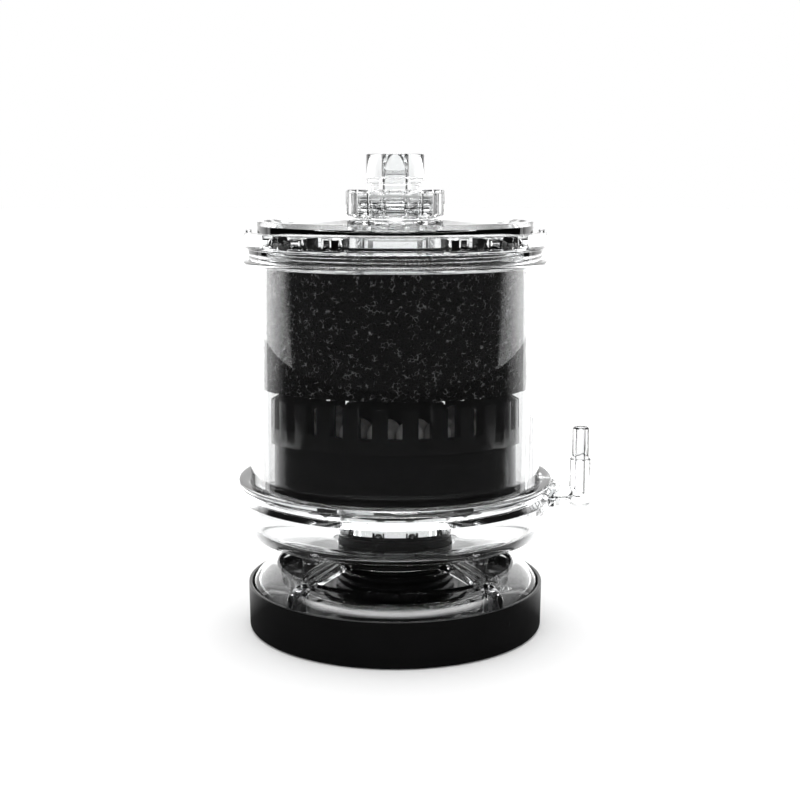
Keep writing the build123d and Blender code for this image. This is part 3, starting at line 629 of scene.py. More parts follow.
@dataclass(frozen=True)
class Stainless(Finish):
    """Turned stainless steel with fine rings of machining."""

    name: str = "stainless_steel"
    slot: str = "stainless_steel"
    dark: Point = (0.5, 0.5, 0.51)
    light: Point = (0.68, 0.68, 0.69)

    def paint(self, canvas: Canvas, effects: Effects) -> None:
        """Joins the finish's nodes to the shader.

        Args:
            canvas: The material's canvas.
            effects: The shared effects.
        """
        shader = canvas.shader
        shader.inputs["Metallic"].default_value = 1.0
        marks = canvas.group(effects.handling, Scale=700.0, Amount=1.0)
        canvas.join(canvas.shade(marks.outputs["Mask"], self.dark, self.light),
                    shader.inputs["Base Color"])
        canvas.join(canvas.span(marks.outputs["Mask"], 0.18, 0.36, 0.15, 0.5),
                    shader.inputs["Roughness"])


@dataclass(frozen=True)
class Ceramic(Finish):
    """Porous fired ceramic: pale, pitted and matt."""

    name: str = "ceramic"
    slot: str = "ceramic"
    dark: Point = (0.36, 0.355, 0.345)
    light: Point = (0.74, 0.735, 0.72)
    pit_scale: float = 900.0
    pit_depth: float = 0.12 * MM

    def paint(self, canvas: Canvas, effects: Effects) -> None:
        """Joins the finish's nodes to the shader.

        Args:
            canvas: The material's canvas.
            effects: The shared effects.
        """
        shader = canvas.shader
        place = canvas.put("ShaderNodeTexCoord")
        pits = canvas.put("ShaderNodeTexVoronoi", Scale=self.pit_scale)
        canvas.join(place.outputs["Object"], pits.inputs["Vector"])
        depth = canvas.span(pits.outputs["Distance"], 0.0, 1.0, 0.1, 0.55)
        cloud = canvas.group(effects.mottle, Scale=420.0, Detail=5.0)
        canvas.join(canvas.shade(cloud.outputs["Value"], self.dark, self.light),
                    shader.inputs["Base Color"])
        canvas.join(canvas.span(cloud.outputs["Value"], 0.75, 0.95), shader.inputs["Roughness"])
        canvas.bump(depth, 0.8, self.pit_depth)


@dataclass(frozen=True)
class ReticulatedFoam(Finish):
    """Coarse black open-cell foam: dark pores between thin struts, a few of them painted pale as glints
    of light.
    """

    name: str = "black_foam"
    slot: str = "black_foam"
    cell_scale: float = 900.0
    cell_depth: float = 0.5 * MM
    pore: Point = (0.0004, 0.0004, 0.0004)
    # colour of the struts that are painted pale as glints of light: a painted highlight
    painted_strut_glint: Point = (0.16, 0.16, 0.162)

    def paint(self, canvas: Canvas, effects: Effects) -> None:
        """Joins the finish's nodes to the shader.

        Args:
            canvas: The material's canvas.
            effects: The shared effects.
        """
        shader = canvas.shader
        place = canvas.put("ShaderNodeTexCoord")
        wander = canvas.put("ShaderNodeTexNoise", Scale=900.0, Detail=2.0)
        shift = canvas.put("ShaderNodeVectorMath", operation="MULTIPLY_ADD")
        shift.inputs[1].default_value = (0.0008, 0.0008, 0.0008)
        cells = canvas.put("ShaderNodeTexVoronoi", feature="DISTANCE_TO_EDGE", Scale=self.cell_scale)
        canvas.join(place.outputs["Object"], wander.inputs["Vector"])
        canvas.join(wander.outputs["Color"], shift.inputs[0])
        canvas.join(place.outputs["Object"], shift.inputs[2])
        canvas.join(shift.outputs["Vector"], cells.inputs["Vector"])
        web = canvas.span(cells.outputs["Distance"], 1.0, 0.0, 0.03, 0.16)
        cloud = canvas.group(effects.mottle, Scale=620.0, Detail=4.0)
        # painted highlight: where the sparse cloud is high, the struts are painted pale as glints of
        # light
        mask = canvas.put("ShaderNodeMath", operation="MULTIPLY")
        canvas.join(web, mask.inputs[0])
        canvas.join(canvas.span(cloud.outputs["Value"], 0.01, 1.0, 0.54, 0.7), mask.inputs[1])
        canvas.join(canvas.shade(mask.outputs["Value"], self.pore, self.painted_strut_glint),
                    shader.inputs["Base Color"])
        canvas.join(canvas.span(web, 0.98, 0.7), shader.inputs["Roughness"])
        canvas.bump(web, 1.0, self.cell_depth)
        shader.inputs["Specular IOR Level"].default_value = 0.06


class Finishes:
    """All finishes of the skimmer, and the work of putting them on pieces."""

    def __init__(self) -> None:
        """Builds every material once."""
        effects = Effects()
        kinds = {
            "clear": ClearAcrylic(),
            "black": BlackPlastic(),
            "rubber": Rubber("black_rubber", "black_rubber", (0.004, 0.004, 0.004),
                             (0.012, 0.012, 0.012)),
            "silicone": ClearAcrylic("seal_silicone", "seal_rubber", tint=(0.94, 0.945, 0.95),
                                     ior=1.41, roughness=(0.02, 0.1)),
            "washer": Rubber("washer_plastic", "washer_plastic", (0.74, 0.74, 0.74),
                             (0.86, 0.86, 0.86), roughness=0.4),
            "steel": Stainless(),
            "ceramic": Ceramic(),
            "foam": ReticulatedFoam(),
        }
        self.slots = {key: kind.slot for key, kind in kinds.items()}
        self.materials = {key: kind.make(effects) for key, kind in kinds.items()}

    def dress(self, piece: bpy.types.Object, finish: str) -> None:
        """Puts one finish all over a piece."""
        piece.data.materials.clear()
        piece.data.materials.append(self.materials[finish])


@dataclass
class Bench:
    """What every sub-assembly is made with, and how a piece is handed over."""

    shop: Workshop
    finishes: Finishes

    def hand_over(self, piece: bpy.types.Object, finish: str, body: str, *nodes: str,
                  crease: float = 32.0) -> bpy.types.Object:
        """Shades, dresses and mounts a finished piece in place of its CAD nodes.

        Args:
            piece: The finished piece.
            finish: Key of its finish.
            body: The body it moves with.
            *nodes: The CAD nodes that it stands for.
            crease: Smallest angle that stays a sharp edge, in degrees.

        Returns:
            The piece.
        """
        self.shop.settle(piece)
        self.shop.smooth(piece, crease)
        self.finishes.dress(piece, finish)
        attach(piece, body)
        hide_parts(*nodes)
        log.info("%s: %d faces, on %s", piece.name, len(piece.data.polygons), body)
        return piece


    def lathe(self, node: str, outline: Outline, finish: str, body: str, edge: float,
              segments: int = 3, angle: float = 30.0, steps: int | None = None) -> None:
        """Turns a node's finished piece, rounds its edges and hands it over.

        Args:
            node: The CAD node that the piece stands for.
            outline: The piece's section.
            finish: Key of its finish.
            body: The body it moves with.
            edge: Rounding of its edges.
            segments: Steps across the rounding.
            angle: Smallest angle that is rounded, in degrees.
            steps: Steps in the full turn, or the shop's own number.
        """
        piece = self.shop.turn(f"{node}_finished", outline, steps)
        self.shop.round_edges(piece, edge, segments, angle)
        self.hand_over(piece, finish, body, node)

    def show(self, finish: str, *nodes: str) -> None:
        """Puts a finish on CAD nodes that are shown as they are."""
        for node in nodes:
            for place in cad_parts[node].material_slots:
                place.material = self.finishes.materials[finish]


def extent(node: str) -> tuple[float, float, float]:
    """Largest radius, lowest and highest height of a round CAD node."""
    low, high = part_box(node)
    return high.y, low.z, high.z


# ---------------------------------------------------------------- stand


@dataclass
class Stand:
    """Black foot with its deck, and the clear windowed dome that sits in its rim."""

    bench: Bench
    body: str = "stand"
    rim: float = 1.1 * MM
    foot_edge: float = 0.9 * MM
    draft: float = 0.2 * MM
    wall: float = 4.6 * MM
    post: float = 3.1 * MM
    deck_thickness: float = 2.2 * MM
    dome_wall: float = 2.2 * MM
    dome_skirt: float = 2.7 * MM
    dome_fullness: float = 1.72
    dome_rise: float = 10.8 * MM
    dome_opening_gap: float = 0.7 * MM
    post_height: float = 7.0 * MM
    pocket_rise: float = 6.6 * MM
    pocket_height: float = 9.0 * MM
    crown_steps: int = 14
    hub_wall: float = 3.9 * MM
    slots: int = 12
    slot_size: tuple[float, float] = (8.0 * MM, 3.0 * MM)
    slot_circle: float = 29.0 * MM
    window_inner: float = 23.0 * MM
    window_outer: float = 36.6 * MM
    spoke_width: float = 6.4 * MM
    rib_width: float = 1.1 * MM
    rib_height: float = 0.8 * MM
    rib_start: float = 21.0 * MM
    rib_end: float = 37.5 * MM
    bar_start: float = 16.0 * MM
    bar_length: float = 26.0 * MM
    bar_height: float = 40.0 * MM
    window_height: float = 20.0 * MM
    window_corner: float = 2.0 * MM
    cross_length: float = 120.0 * MM
    screw_circle: float = 40.0 * MM
    head_radius: float = 2.1 * MM
    head_height: float = 1.6 * MM
    head_edge: float = 0.5 * MM
    shank: float = 1.4 * MM
    shank_point: float = 0.4 * MM
    drive_radius: float = 0.95 * MM
    drive_depth: float = 0.8 * MM
    edge: float = 0.3 * MM
    dome_edge: float = 0.25 * MM
    spokes: list[float] = field(default_factory=lambda: [45.0, 135.0, 225.0, 315.0])

    def build(self) -> None:
        """Builds the foot, the deck, the dome and its screws."""
        self.build_shell()
        self.build_deck()
        self.build_dome()
        self.build_screws()
        self.bench.show("rubber", "base_pad")
        self.bench.show("steel", "ballast_ring")

    def build_shell(self) -> None:
        """Turns the foot: rounded lower edge, slight draft and a thin rim."""
        radius, bottom, top = extent("base_shell")
        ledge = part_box("dome")[0].z - self.deck_thickness
        ballast_low = extent("ballast_ring")[1]
        foot = radius - self.draft
        pad_radius, _, pad_top = extent("base_pad")
        edge = self.foot_edge
        outline = [(0.0, pad_top), (pad_radius, pad_top), (pad_radius, bottom)]
        outline += arc((foot - edge, bottom + edge), edge, -90.0, 0.0)
        outline += [
            (radius, top), (radius - self.rim, top),
            (radius - self.rim, ledge), (radius - self.wall, ledge),
            (radius - self.wall, ballast_low), (0.0, ballast_low),
        ]
        self.bench.lathe("base_shell", outline, "black", self.body, self.edge)

    def build_deck(self) -> None:
        """Turns the deck with its hub and mills its slots."""
        shop = self.bench.shop
        radius, hub_low, hub_top = extent("base_deck")
        deck_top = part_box("dome")[0].z
        neck_radius = extent("neck")[0]
        bore = neck_radius + RUNNING_GAP
        hub = bore + self.hub_wall
        thick = self.deck_thickness
        outline = [
            (bore, hub_low), (hub, hub_low), (hub, deck_top - thick), (radius, deck_top - thick),
            (radius, deck_top), (hub, deck_top), (hub, hub_top), (bore, hub_top),
        ]
        deck = shop.turn("base_deck_finished", outline)
        slot = shop.block("slot_tool", (*self.slot_size, 4 * thick), (self.slot_circle, 0.0, deck_top))
        shop.mill(deck, shop.pattern(slot, around(self.slots)))
        shop.round_edges(deck, self.edge, segments=2)
        self.bench.hand_over(deck, "black", self.body, "base_deck")

    def crown(self, inset: float) -> Outline:
        """Curve of the dome from its skirt up to the neck opening.

        Args:
            inset: How far inside the outer face the curve lies.

        Returns:
            Points from the skirt to the opening.
        """
        radius, deck_top, _ = extent("dome")
        opening = extent("neck")[0] + self.dome_opening_gap
        low = deck_top + self.dome_skirt
        rise = self.dome_rise - inset
        reach = radius - opening - inset
        points = []
        for k in range(self.crown_steps + 1):
            angle = pi / 2 * k / self.crown_steps
            share = cos(angle) ** (2 / self.dome_fullness)
            lift = sin(angle) ** (2 / self.dome_fullness)
            points.append((opening + reach * share, low + rise * lift))
        return points

    def build_dome(self) -> None:
        """Turns the dome, mills its four windows and raises the ribs of its spokes."""
        shop = self.bench.shop
        radius, deck_top, _ = extent("dome")
        outline = [(radius - self.dome_wall, deck_top), (radius, deck_top)]
        outline += self.crown(0.0)
        outline += list(reversed(self.crown(self.dome_wall)))
        dome = shop.turn("dome_finished", outline)
        post = shop.rod("post", self.post, (self.screw_circle, 0.0, deck_top + OVERLAP),
                        self.post_height)
        shop.mill(dome, shop.pattern(post, self.spokes), Cut.JOIN)
        shop.mill(dome, self.window_tool(deck_top))
        ribs = shop.turn("ribs", self.rib_outline())
        shop.mill(ribs, self.spoke_bars(self.rib_width, (self.spoke_width - self.rib_width) / 2),
                  Cut.KEEP)
        shop.mill(dome, ribs, Cut.JOIN)
        pocket = shop.rod("pocket", self.head_radius + HEAD_GAP,
                          (self.screw_circle, 0.0, deck_top + self.pocket_rise), self.pocket_height)
        shop.mill(dome, shop.pattern(pocket, self.spokes))
        shop.round_edges(dome, self.dome_edge, segments=2)
        self.bench.hand_over(dome, "clear", self.body, "dome")

    def rib_outline(self) -> Outline:
        """Section of the band that the spokes' ribs are cut from."""
        middle = [(r, z) for r, z in self.crown(0.0) if self.rib_start < r < self.rib_end]
        outer = [(r, z + self.rib_height) for r, z in middle]
        inner = [(r, z - self.rib_height) for r, z in middle]
        return outer + inner[::-1]

    def spoke_bars(self, width: float, side: float) -> bpy.types.Object:
        """Bars along the spokes, one each side of every spoke's middle.

        Args:
            width: Width of a bar.
            side: Distance of a bar's middle from the spoke's middle.

        Returns:
            The bars as one object.
        """
        shop = self.bench.shop
        bars = []
        for sign in (-1, 1):
            bar = shop.block("bar", (self.bar_length, width, self.bar_height),
                             (self.bar_start + self.bar_length / 2, sign * side, self.bar_height / 2))
            bars += shop.copies(bar, self.spokes)
        return shop.join("spoke_bars", bars)

    def window_tool(self, deck_top: float) -> bpy.types.Object:
        """Four rounded sectors, the shape of the dome's windows.

        Args:
            deck_top: Height that the dome stands on.

        Returns:
            The sectors as one object.
        """
        shop = self.bench.shop
        top = deck_top + self.window_height
        blank = shop.turn("windows", ring(self.window_inner, self.window_outer,
                                          deck_top + self.dome_skirt, top))
        for azimuth in self.spokes[:2]:
            shop.mill(blank, shop.block("cross", (self.cross_length, self.spoke_width, 3 * top),
                                        (0.0, 0.0, top), azimuth))
        shop.pick(blank)
        corners = blank.modifiers.new("corners", "BEVEL")
        corners.width = self.window_corner
        corners.segments = 5
        corners.limit_method = "WEIGHT"
        self.weigh_upright_edges(blank)
        bpy.ops.object.modifier_apply(modifier=corners.name)
        return blank

    @staticmethod
    def weigh_upright_edges(piece: bpy.types.Object) -> None:
        """Marks the sharp upright edges of a piece for rounding."""
        mesh = bmesh.new()
        mesh.from_mesh(piece.data)
        layer = mesh.edges.layers.float.new("bevel_weight_edge")
        for edge in mesh.edges:
            lean = abs((edge.verts[0].co - edge.verts[1].co).normalized().z)
            sharp = len(edge.link_faces) == 2 and edge.calc_face_angle(0.0) > radians(50.0)
            edge[layer] = 1.0 if lean > 0.99 and sharp else 0.0
        mesh.to_mesh(piece.data)
        mesh.free()

    def build_screws(self) -> None:
        """Turns one cap screw, cuts its drive and repeats it at every spoke."""
        shop = self.bench.shop
        _, low, high = extent("dome_screws")
        head_low = high - self.head_height
        outline = [(0.0, low), (0.8 * self.shank, low), (self.shank, low + self.shank_point),
                   (self.shank, head_low), (self.head_radius, head_low)]
        outline += arc((self.head_radius - self.head_edge, high - self.head_edge), self.head_edge,
                       0.0, 90.0)
        outline += [(0.0, high)]
        screw = shop.turn("screw", outline, steps=32)
        drive = shop.rod("drive", self.drive_radius, (0.0, 0.0, high - self.drive_depth),
                         2 * self.head_height, steps=6)
        shop.mill(screw, drive)
        shop.move(screw, self.screw_circle)
        screws = shop.pattern(screw, self.spokes, "dome_screws_finished")
        self.bench.hand_over(screws, "steel", self.body, "dome_screws")


# ---------------------------------------------------------------- bowl unit


@dataclass
class BowlUnit:
    """Threaded neck, clear bowl and the chamber with its air feed."""

    bench: Bench
    body: str = "bowl_unit"
    pitch: float = 2.6 * MM
    crest: float = 1.0 * MM
    thread_depth: float = 0.8 * MM
    ridge_foot: float = 0.15 * MM
    neck_edge: float = 0.15 * MM
    flange_edge: float = 0.4 * MM
    collar_edge: float = 0.5 * MM
    bore: float = 13.0 * MM
    floor: float = 2.0 * MM
    boss: float = 19.4 * MM
    hole: float = 13.4 * MM
    flat: float = 41.4 * MM
    waist: float = 47.7 * MM
    waist_rise: float = 6.0 * MM
    corner: float = 6.08 * MM
    inner_corner: float = 4.856 * MM
    wall: float = 3.2 * MM
    lip: float = 0.7 * MM
    boss_height: float = 2.9 * MM
    socket: float = 44.98 * MM
    tube_gap: float = 0.3 * MM
    shelf: float = 1.6 * MM
    elbow_boss: float = 4.4 * MM
    elbow_boss_start: float = 43.6 * MM
    bore_start: float = 30.0 * MM
    elbow_seal: float = 1.1 * MM
    elbow_seat: float = 1.2 * MM
    groove_start: float = 43.0 * MM
    bowl_edge: float = 0.25 * MM
    shelf_bore: float = 41.08 * MM
    screw_circle: float = 15.4 * MM
    screw_angles: list[float] = field(default_factory=lambda: [72.0, 108.0, 252.0, 288.0])
    screw_head: float = 1.75 * MM
    screw_hole: float = 1.0 * MM
    drill_start: float = 20.0 * MM
    screw_shank: float = 0.9 * MM
    screw_root: float = 0.72 * MM
    screw_pitch: float = 0.8 * MM
    screw_point: float = 0.2 * MM
    head_rim: float = 0.5 * MM
    head_shoulder: float = 1.3 * MM
    head_flat: float = 0.7 * MM
    chamber_wall: float = 1.8 * MM
    chamber_roof: float = 1.5 * MM
    spout_height: float = 5.5 * MM
    spout: float = 10.72 * MM
    spout_bore: float = 9.02 * MM
    relief_depth: float = 1.0 * MM
    relief_height: float = 2.8 * MM
    chamber_edge: float = 0.2 * MM
    port_start: float = 10.0 * MM
    port_length: float = 12.0 * MM
    air_height: float = 41.4 * MM
    spigot: float = 2.25 * MM
    air_bore: float = 1.3 * MM
    stem: float = 3.25 * MM
    stem_top: float = 52.6 * MM
    stem_heel: float = 1.1 * MM
    stem_edge: float = 0.3 * MM
    nipple: float = 2.6 * MM
    nipple_edge: float = 0.45 * MM
    elbow_collar: float = 4.0 * MM
    elbow_collar_gap: float = 0.4 * MM
    elbow_collar_width: float = 1.3 * MM
    elbow_edge: float = 0.2 * MM

    def build(self) -> None:
        """Builds every piece that turns with the bowl, and the elbow in its side."""
        self.build_neck()
        self.build_bowl()
        self.build_chamber()
        self.build_screws()
        self.build_elbow()
        self.bench.show("rubber", "neck_gasket")
        self.bench.show("silicone", "bowl_seal", "elbow_seal")
        self.bench.show("clear", "air_pipe")
        self.bench.show("ceramic", "air_stone")

    def build_neck(self) -> None:
        """Turns the neck with its ridges, the collar above the dome and the inner flange."""
        radius, low, high = extent("neck")
        root = radius - self.thread_depth
        outline = [(self.bore, high), (self.bore, low), (root, low)]
        for turn in range(int((high - low) / self.pitch)):
            start = low + turn * self.pitch
            outline += [
                (root, start + self.ridge_foot),
                (radius, start + (self.pitch - self.crest) / 2),
                (radius, start + (self.pitch + self.crest) / 2),
                (root, start + self.pitch - self.ridge_foot),
            ]
        outline += [(root, high)]
        lathe = self.bench.lathe
        lathe("neck", outline, "black", self.body, self.neck_edge, segments=2)
        lathe("neck_flange", ring(self.hole, *extent("neck_flange")), "black", self.body,
              self.flange_edge)
        lathe("neck_collar", ring(radius + RUNNING_GAP, *extent("neck_collar")), "rubber", "collar",
              self.collar_edge, segments=4)

    def bowl_outline(self) -> Outline:
        """Section of the bowl: boss, flat floor, rounded corner, flared wall and rim."""
        rim, low, high = extent("bowl")
        under = low + self.boss_height
        inside = under + self.floor
        seat = extent("body_tube")[1] - self.tube_gap
        socket = self.socket
        waist_height = under + self.waist_rise
        outline = [(self.hole, low), (self.boss, low), (self.boss, under)]
        outline += arc((self.flat, under + self.corner), self.corner, -90.0, -14.0, steps=8)
        outline += [(self.waist, waist_height), (rim, high - self.lip)]
        outline += arc((rim - self.lip, high - self.lip), self.lip, 0.0, 90.0, steps=4)
        shelf = seat - self.shelf
        outline += [(socket, high), (socket, seat), (self.shelf_bore, seat), (self.shelf_bore, shelf)]
        outline += [(self.waist - self.wall, shelf - self.shelf),
                    (self.waist - self.wall, waist_height)]
        outline += arc((self.flat - self.wall / 2, inside + self.inner_corner), self.inner_corner,
                       -27.7, -90.0, steps=8)
        outline += [(self.hole, inside)]
        return outline

    def build_bowl(self) -> None:
        """Turns the bowl, adds the boss for the elbow and drills it."""
        shop = self.bench.shop
        bowl = shop.turn("bowl_finished", self.bowl_outline())
        boss_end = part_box("bowl")[1].x
        start = self.elbow_boss_start
        bore = self.spigot + RUNNING_GAP
        shop.mill(bowl, self.feed("boss", self.elbow_boss, start, boss_end - start), Cut.JOIN)
        shop.mill(bowl, self.feed("bore", bore, self.bore_start, self.bore_start))
        shop.mill(bowl, self.feed("seat", bore + self.elbow_seal, boss_end - self.elbow_seat,
                                  2 * self.elbow_seat))
        seal, groove_low, groove_high = extent("bowl_seal")
        shop.mill(bowl, shop.turn("groove", ring(self.groove_start, seal + SEAL_GAP,
                                                 groove_low - SEAL_GAP, groove_high + SEAL_GAP)))
        drill = shop.rod("drill", self.screw_hole, (self.screw_circle, 0.0, self.drill_start),
                         self.drill_start, steps=24)
        shop.mill(bowl, shop.pattern(drill, self.screw_angles))
        shop.round_edges(bowl, self.bowl_edge, segments=2)
        self.bench.hand_over(bowl, "clear", self.body, "bowl")

    def feed(self, name: str, radius: float, start: float, length: float) -> bpy.types.Object:
        """Makes a rod along X at the height of the air feed.

        Args:
            name: Name of the rod.
            radius: Its radius.
            start: Where it starts, along X.
            length: Its length.

        Returns:
            The rod.
        """
        return self.bench.shop.rod(name, radius, (start, 0.0, self.air_height), length, "X")

    def build_chamber(self) -> None:
        """Turns the clear chamber over the neck, with a port for the air pipe."""
        shop = self.bench.shop
        radius, low, high = extent("lift_chamber")
        roof = high - self.spout_height
        ceiling = roof - self.chamber_roof
        inner = radius - self.chamber_wall
        chamber = shop.turn("lift_chamber_finished", [
            (inner, low), (radius, low), (radius, roof), (self.spout, roof), (self.spout, high),
            (self.spout_bore, high), (self.spout_bore, ceiling), (inner, ceiling),
        ])
        shop.mill(chamber, self.feed("port", self.spigot, self.port_start, self.port_length))
        relief = shop.rod("relief", self.screw_head + HEAD_GAP,
                          (self.screw_circle, 0.0, low - self.relief_depth), self.relief_height)
        shop.mill(chamber, shop.pattern(relief, self.screw_angles))
        shop.round_edges(chamber, self.chamber_edge, segments=2)
        self.bench.hand_over(chamber, "clear", self.body, "lift_chamber")

    def build_screws(self) -> None:
        """Turns one pan-head screw with its thread and repeats it round the flange."""
        shop = self.bench.shop
        low, high = extent("neck_screws")[1:]
        head_low = extent("neck_flange")[2]
        shank, root, pitch, point = self.screw_shank, self.screw_root, self.screw_pitch, self.screw_point
        outline = [(0.0, low), (root, low + point)]
        for turn in range(int((head_low - low) / pitch) - 1):
            start = low + 1.5 * point + turn * pitch
            outline += [(root, start), (shank, start + pitch * 0.45), (root, start + pitch * 0.9)]
        outline += [(shank, head_low), (self.screw_head, head_low),
                    (self.screw_head, head_low + self.head_rim)]
        outline += [(self.head_shoulder, high - point), (self.head_flat, high), (0.0, high)]
        screw = shop.move(shop.turn("screw", outline, steps=24), self.screw_circle)
        screws = shop.pattern(screw, self.screw_angles, "neck_screws_finished")
        self.bench.hand_over(screws, "steel", self.body, "neck_screws")

    def build_elbow(self) -> None:
        """Builds the airline elbow: spigot, collar, stem and nipple, with its bore."""
        shop = self.bench.shop
        low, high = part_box("air_elbow")
        stem, stem_top, nipple = self.stem, self.stem_top, self.nipple
        reach = high.x - stem
        span = reach - low.x
        outline = [(0.0, low.z)]
        outline += arc((stem - self.stem_heel, low.z + self.stem_heel), self.stem_heel, -90.0, 0.0)
        outline += [
            (stem, stem_top - self.stem_edge), (stem - self.stem_edge, stem_top), (nipple, stem_top),
            (nipple, high.z - self.nipple_edge), (nipple - self.nipple_edge, high.z), (0.0, high.z),
        ]
        elbow = shop.move(shop.turn("air_elbow_finished", outline, steps=64), reach)
        shop.mill(elbow, self.feed("spigot", self.spigot, low.x, span), Cut.JOIN)
        collar_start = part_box("bowl")[1].x + self.elbow_collar_gap
        shop.mill(elbow, self.feed("collar", self.elbow_collar, collar_start, self.elbow_collar_width),
                  Cut.JOIN)
        upright = shop.rod("upright", self.air_bore, (reach, 0.0, self.air_height), high.z)
        shop.mill(upright, self.feed("across", self.air_bore, low.x - stem, span + stem), Cut.JOIN)
        shop.mill(elbow, upright)
        shop.round_edges(elbow, self.elbow_edge, segments=2, angle=40.0)
        self.bench.hand_over(elbow, "clear", "elbow", "air_elbow")


# ---------------------------------------------------------------- cartridge


@dataclass
class Cartridge:
    """Drum of ceramic media under a slotted ring, with the riser and the foam above."""

    bench: Bench
    body: str = "cartridge"
    drum_radius: float = 36.9 * MM
    drum_wall: float = 2.2 * MM
    drum_top: float = 61.6 * MM
    flange_height: float = 3.3 * MM
    drum_floor: float = 2.0 * MM
    sleeve_bore: float = 12.55 * MM
    sleeve_wall: float = 1.8 * MM
    drum_edge: float = 0.35 * MM
    clip_edge: float = 0.2 * MM
    tip_share: float = 0.16
    clip_width: float = 5.2 * MM
    clip_thickness: float = 2.2 * MM
    clip_point: float = 1.3 * MM
    clip_angles: list[float] = field(default_factory=lambda: [61.3, 118.7, 241.3, 298.7])
    slots: int = 28
    slot_width: float = 4.0 * MM
    slot_bottom: float = 66.3 * MM
    slot_height: float = 30.0 * MM
    edge_height: float = 74.8 * MM
    lip_wall: float = 1.4 * MM
    lip_height: float = 2.2 * MM
    ring_edge: float = 0.3 * MM
    riser_wall: float = 1.7 * MM
    foam_gap: float = 0.4 * MM
    foam_skin: float = 0.35 * MM
    foam_rows: int = 46
    foam_steps: int = 330
    foam_inward: int = 20
    layers: int = 3
    media_rings: tuple[tuple[float, int], ...] = ((29.0 * MM, 22), (20.7 * MM, 15))
    roughness: float = 0.02
    ring_wall: float = 3.6 * MM
    top_radius: float = 35.0 * MM
    ball: float = 4.0 * MM

    def build(self) -> None:
        """Builds every piece of the cartridge."""
        self.build_drum()
        self.build_ring()
        self.build_media()
        self.build_riser()
        self.build_foam()

    def build_drum(self) -> None:
        """Turns the drum and hangs its pointed clips below it."""
        shop = self.bench.shop
        flange, low, high = extent("media_drum")
        floor = low + self.drum_floor
        inner, sleeve = self.drum_radius - self.drum_wall, self.sleeve_bore
        outline = [
            (sleeve, low), (flange, low), (flange, low + self.flange_height),
            (self.drum_radius, low + self.flange_height), (self.drum_radius, self.drum_top),
            (inner, self.drum_top), (inner, floor), (sleeve + self.sleeve_wall, floor),
            (sleeve + self.sleeve_wall, high), (sleeve, high),
        ]
        self.bench.lathe("media_drum", outline, "black", self.body, self.drum_edge)
        clips = shop.pattern(self.pointed_clip(), self.clip_angles, "drum_clips_finished")
        shop.round_edges(clips, self.clip_edge, segments=2)
        self.bench.hand_over(clips, "black", self.body, "drum_clips")

    def pointed_clip(self) -> bpy.types.Object:
        """Makes one clip that hangs below the drum's flange and ends in a blunt point.

        Returns:
            The clip, at azimuth 0.
        """
        shop = self.bench.shop
        _, low, high = extent("drum_clips")
        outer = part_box("media_drum")[1].y
        straight = high - low - self.clip_point
        clip = shop.block("clip", (self.clip_thickness, self.clip_width, straight),
                          (outer - self.clip_thickness / 2, 0.0, high - straight / 2))
        bpy.ops.object.mode_set(mode="EDIT")
        bpy.ops.mesh.select_all(action="DESELECT")
        mesh = bmesh.from_edit_mesh(clip.data)
        for face in mesh.faces:
            face.select = face.normal.z < -0.9
        bmesh.update_edit_mesh(clip.data)
        bpy.ops.mesh.extrude_region_move(
            TRANSFORM_OT_translate={"value": (0.0, 0.0, -self.clip_point)},
        )
        bpy.ops.transform.resize(value=(1.0, self.tip_share, 1.0))
        bpy.ops.object.mode_set(mode="OBJECT")
        return clip

    def build_ring(self) -> None:
        """Turns the slotted ring with its sloping shoulder and mills its slots."""
        shop = self.bench.shop
        radius, _, high = extent("slotted_ring")
        inner = radius - self.ring_wall
        lip = self.drum_radius - self.drum_wall - SEAL_GAP
        lip_wall, lip_low = lip - self.lip_wall, self.drum_top - self.lip_height
        outline = [
            (lip_wall, lip_low), (lip, lip_low),
            (lip, self.drum_top), (radius, self.drum_top), (radius, self.edge_height),
            (self.top_radius, high), (inner, high), (inner, self.drum_top + self.lip_wall),
            (lip_wall, self.drum_top + self.lip_wall),
        ]
        slotted = shop.turn("slotted_ring_finished", outline)
        tool = shop.block("slot_tool", (4 * self.ring_wall, self.slot_width, self.slot_height),
                          (radius, 0.0, self.slot_bottom + self.slot_height / 2))
        shop.mill(slotted, shop.pattern(tool, around(self.slots, 270.0)))
        shop.round_edges(slotted, self.ring_edge, segments=3)
        self.bench.hand_over(slotted, "black", self.body, "slotted_ring")

    def build_media(self) -> None:
        """Models one rough ceramic ball and lays it in rings and layers."""
        shop = self.bench.shop
        low, high = extent("ceramic_media")[1:]
        shop.deselect()
        bpy.ops.mesh.primitive_ico_sphere_add(subdivisions=4, radius=self.ball * 0.975)
        ball = bpy.context.object
        for vertex in ball.data.vertices:
            rough = noise.fractal(vertex.co * 900.0, 1.0, 2.0, 3)
            vertex.co *= 1.0 + self.roughness * max(-1.0, min(1.0, rough))
        balls = []
        pitch = (high - low - 2 * self.ball) / (self.layers - 1)
        for layer in range(self.layers):
            height = low + self.ball + layer * pitch
            for radius, count in self.media_rings:
                half_step = (layer % 2) * 180.0 / count
                for k in range(count):
                    twin = ball.copy()
                    twin.data = ball.data.copy()
                    bpy.context.scene.collection.objects.link(twin)
                    azimuth = radians(half_step + 360.0 * k / count)
                    twin.rotation_euler = (0.7 * k, 1.3 * k + layer, 2.1 * k)
                    twin.location = (radius * cos(azimuth), radius * sin(azimuth), height)
                    balls.append(twin)
        shop.scrap(ball)
        media = shop.join("ceramic_media_finished", balls)
        self.bench.hand_over(media, "ceramic", self.body, "ceramic_media", crease=80.0)

    def build_riser(self) -> None:
        """Turns the riser tube with eased ends."""
        radius, low, high = extent("riser_tube")
        self.bench.lathe("riser_tube", ring(radius - self.riser_wall, radius, low, high), "clear",
                         self.body, self.ring_edge)

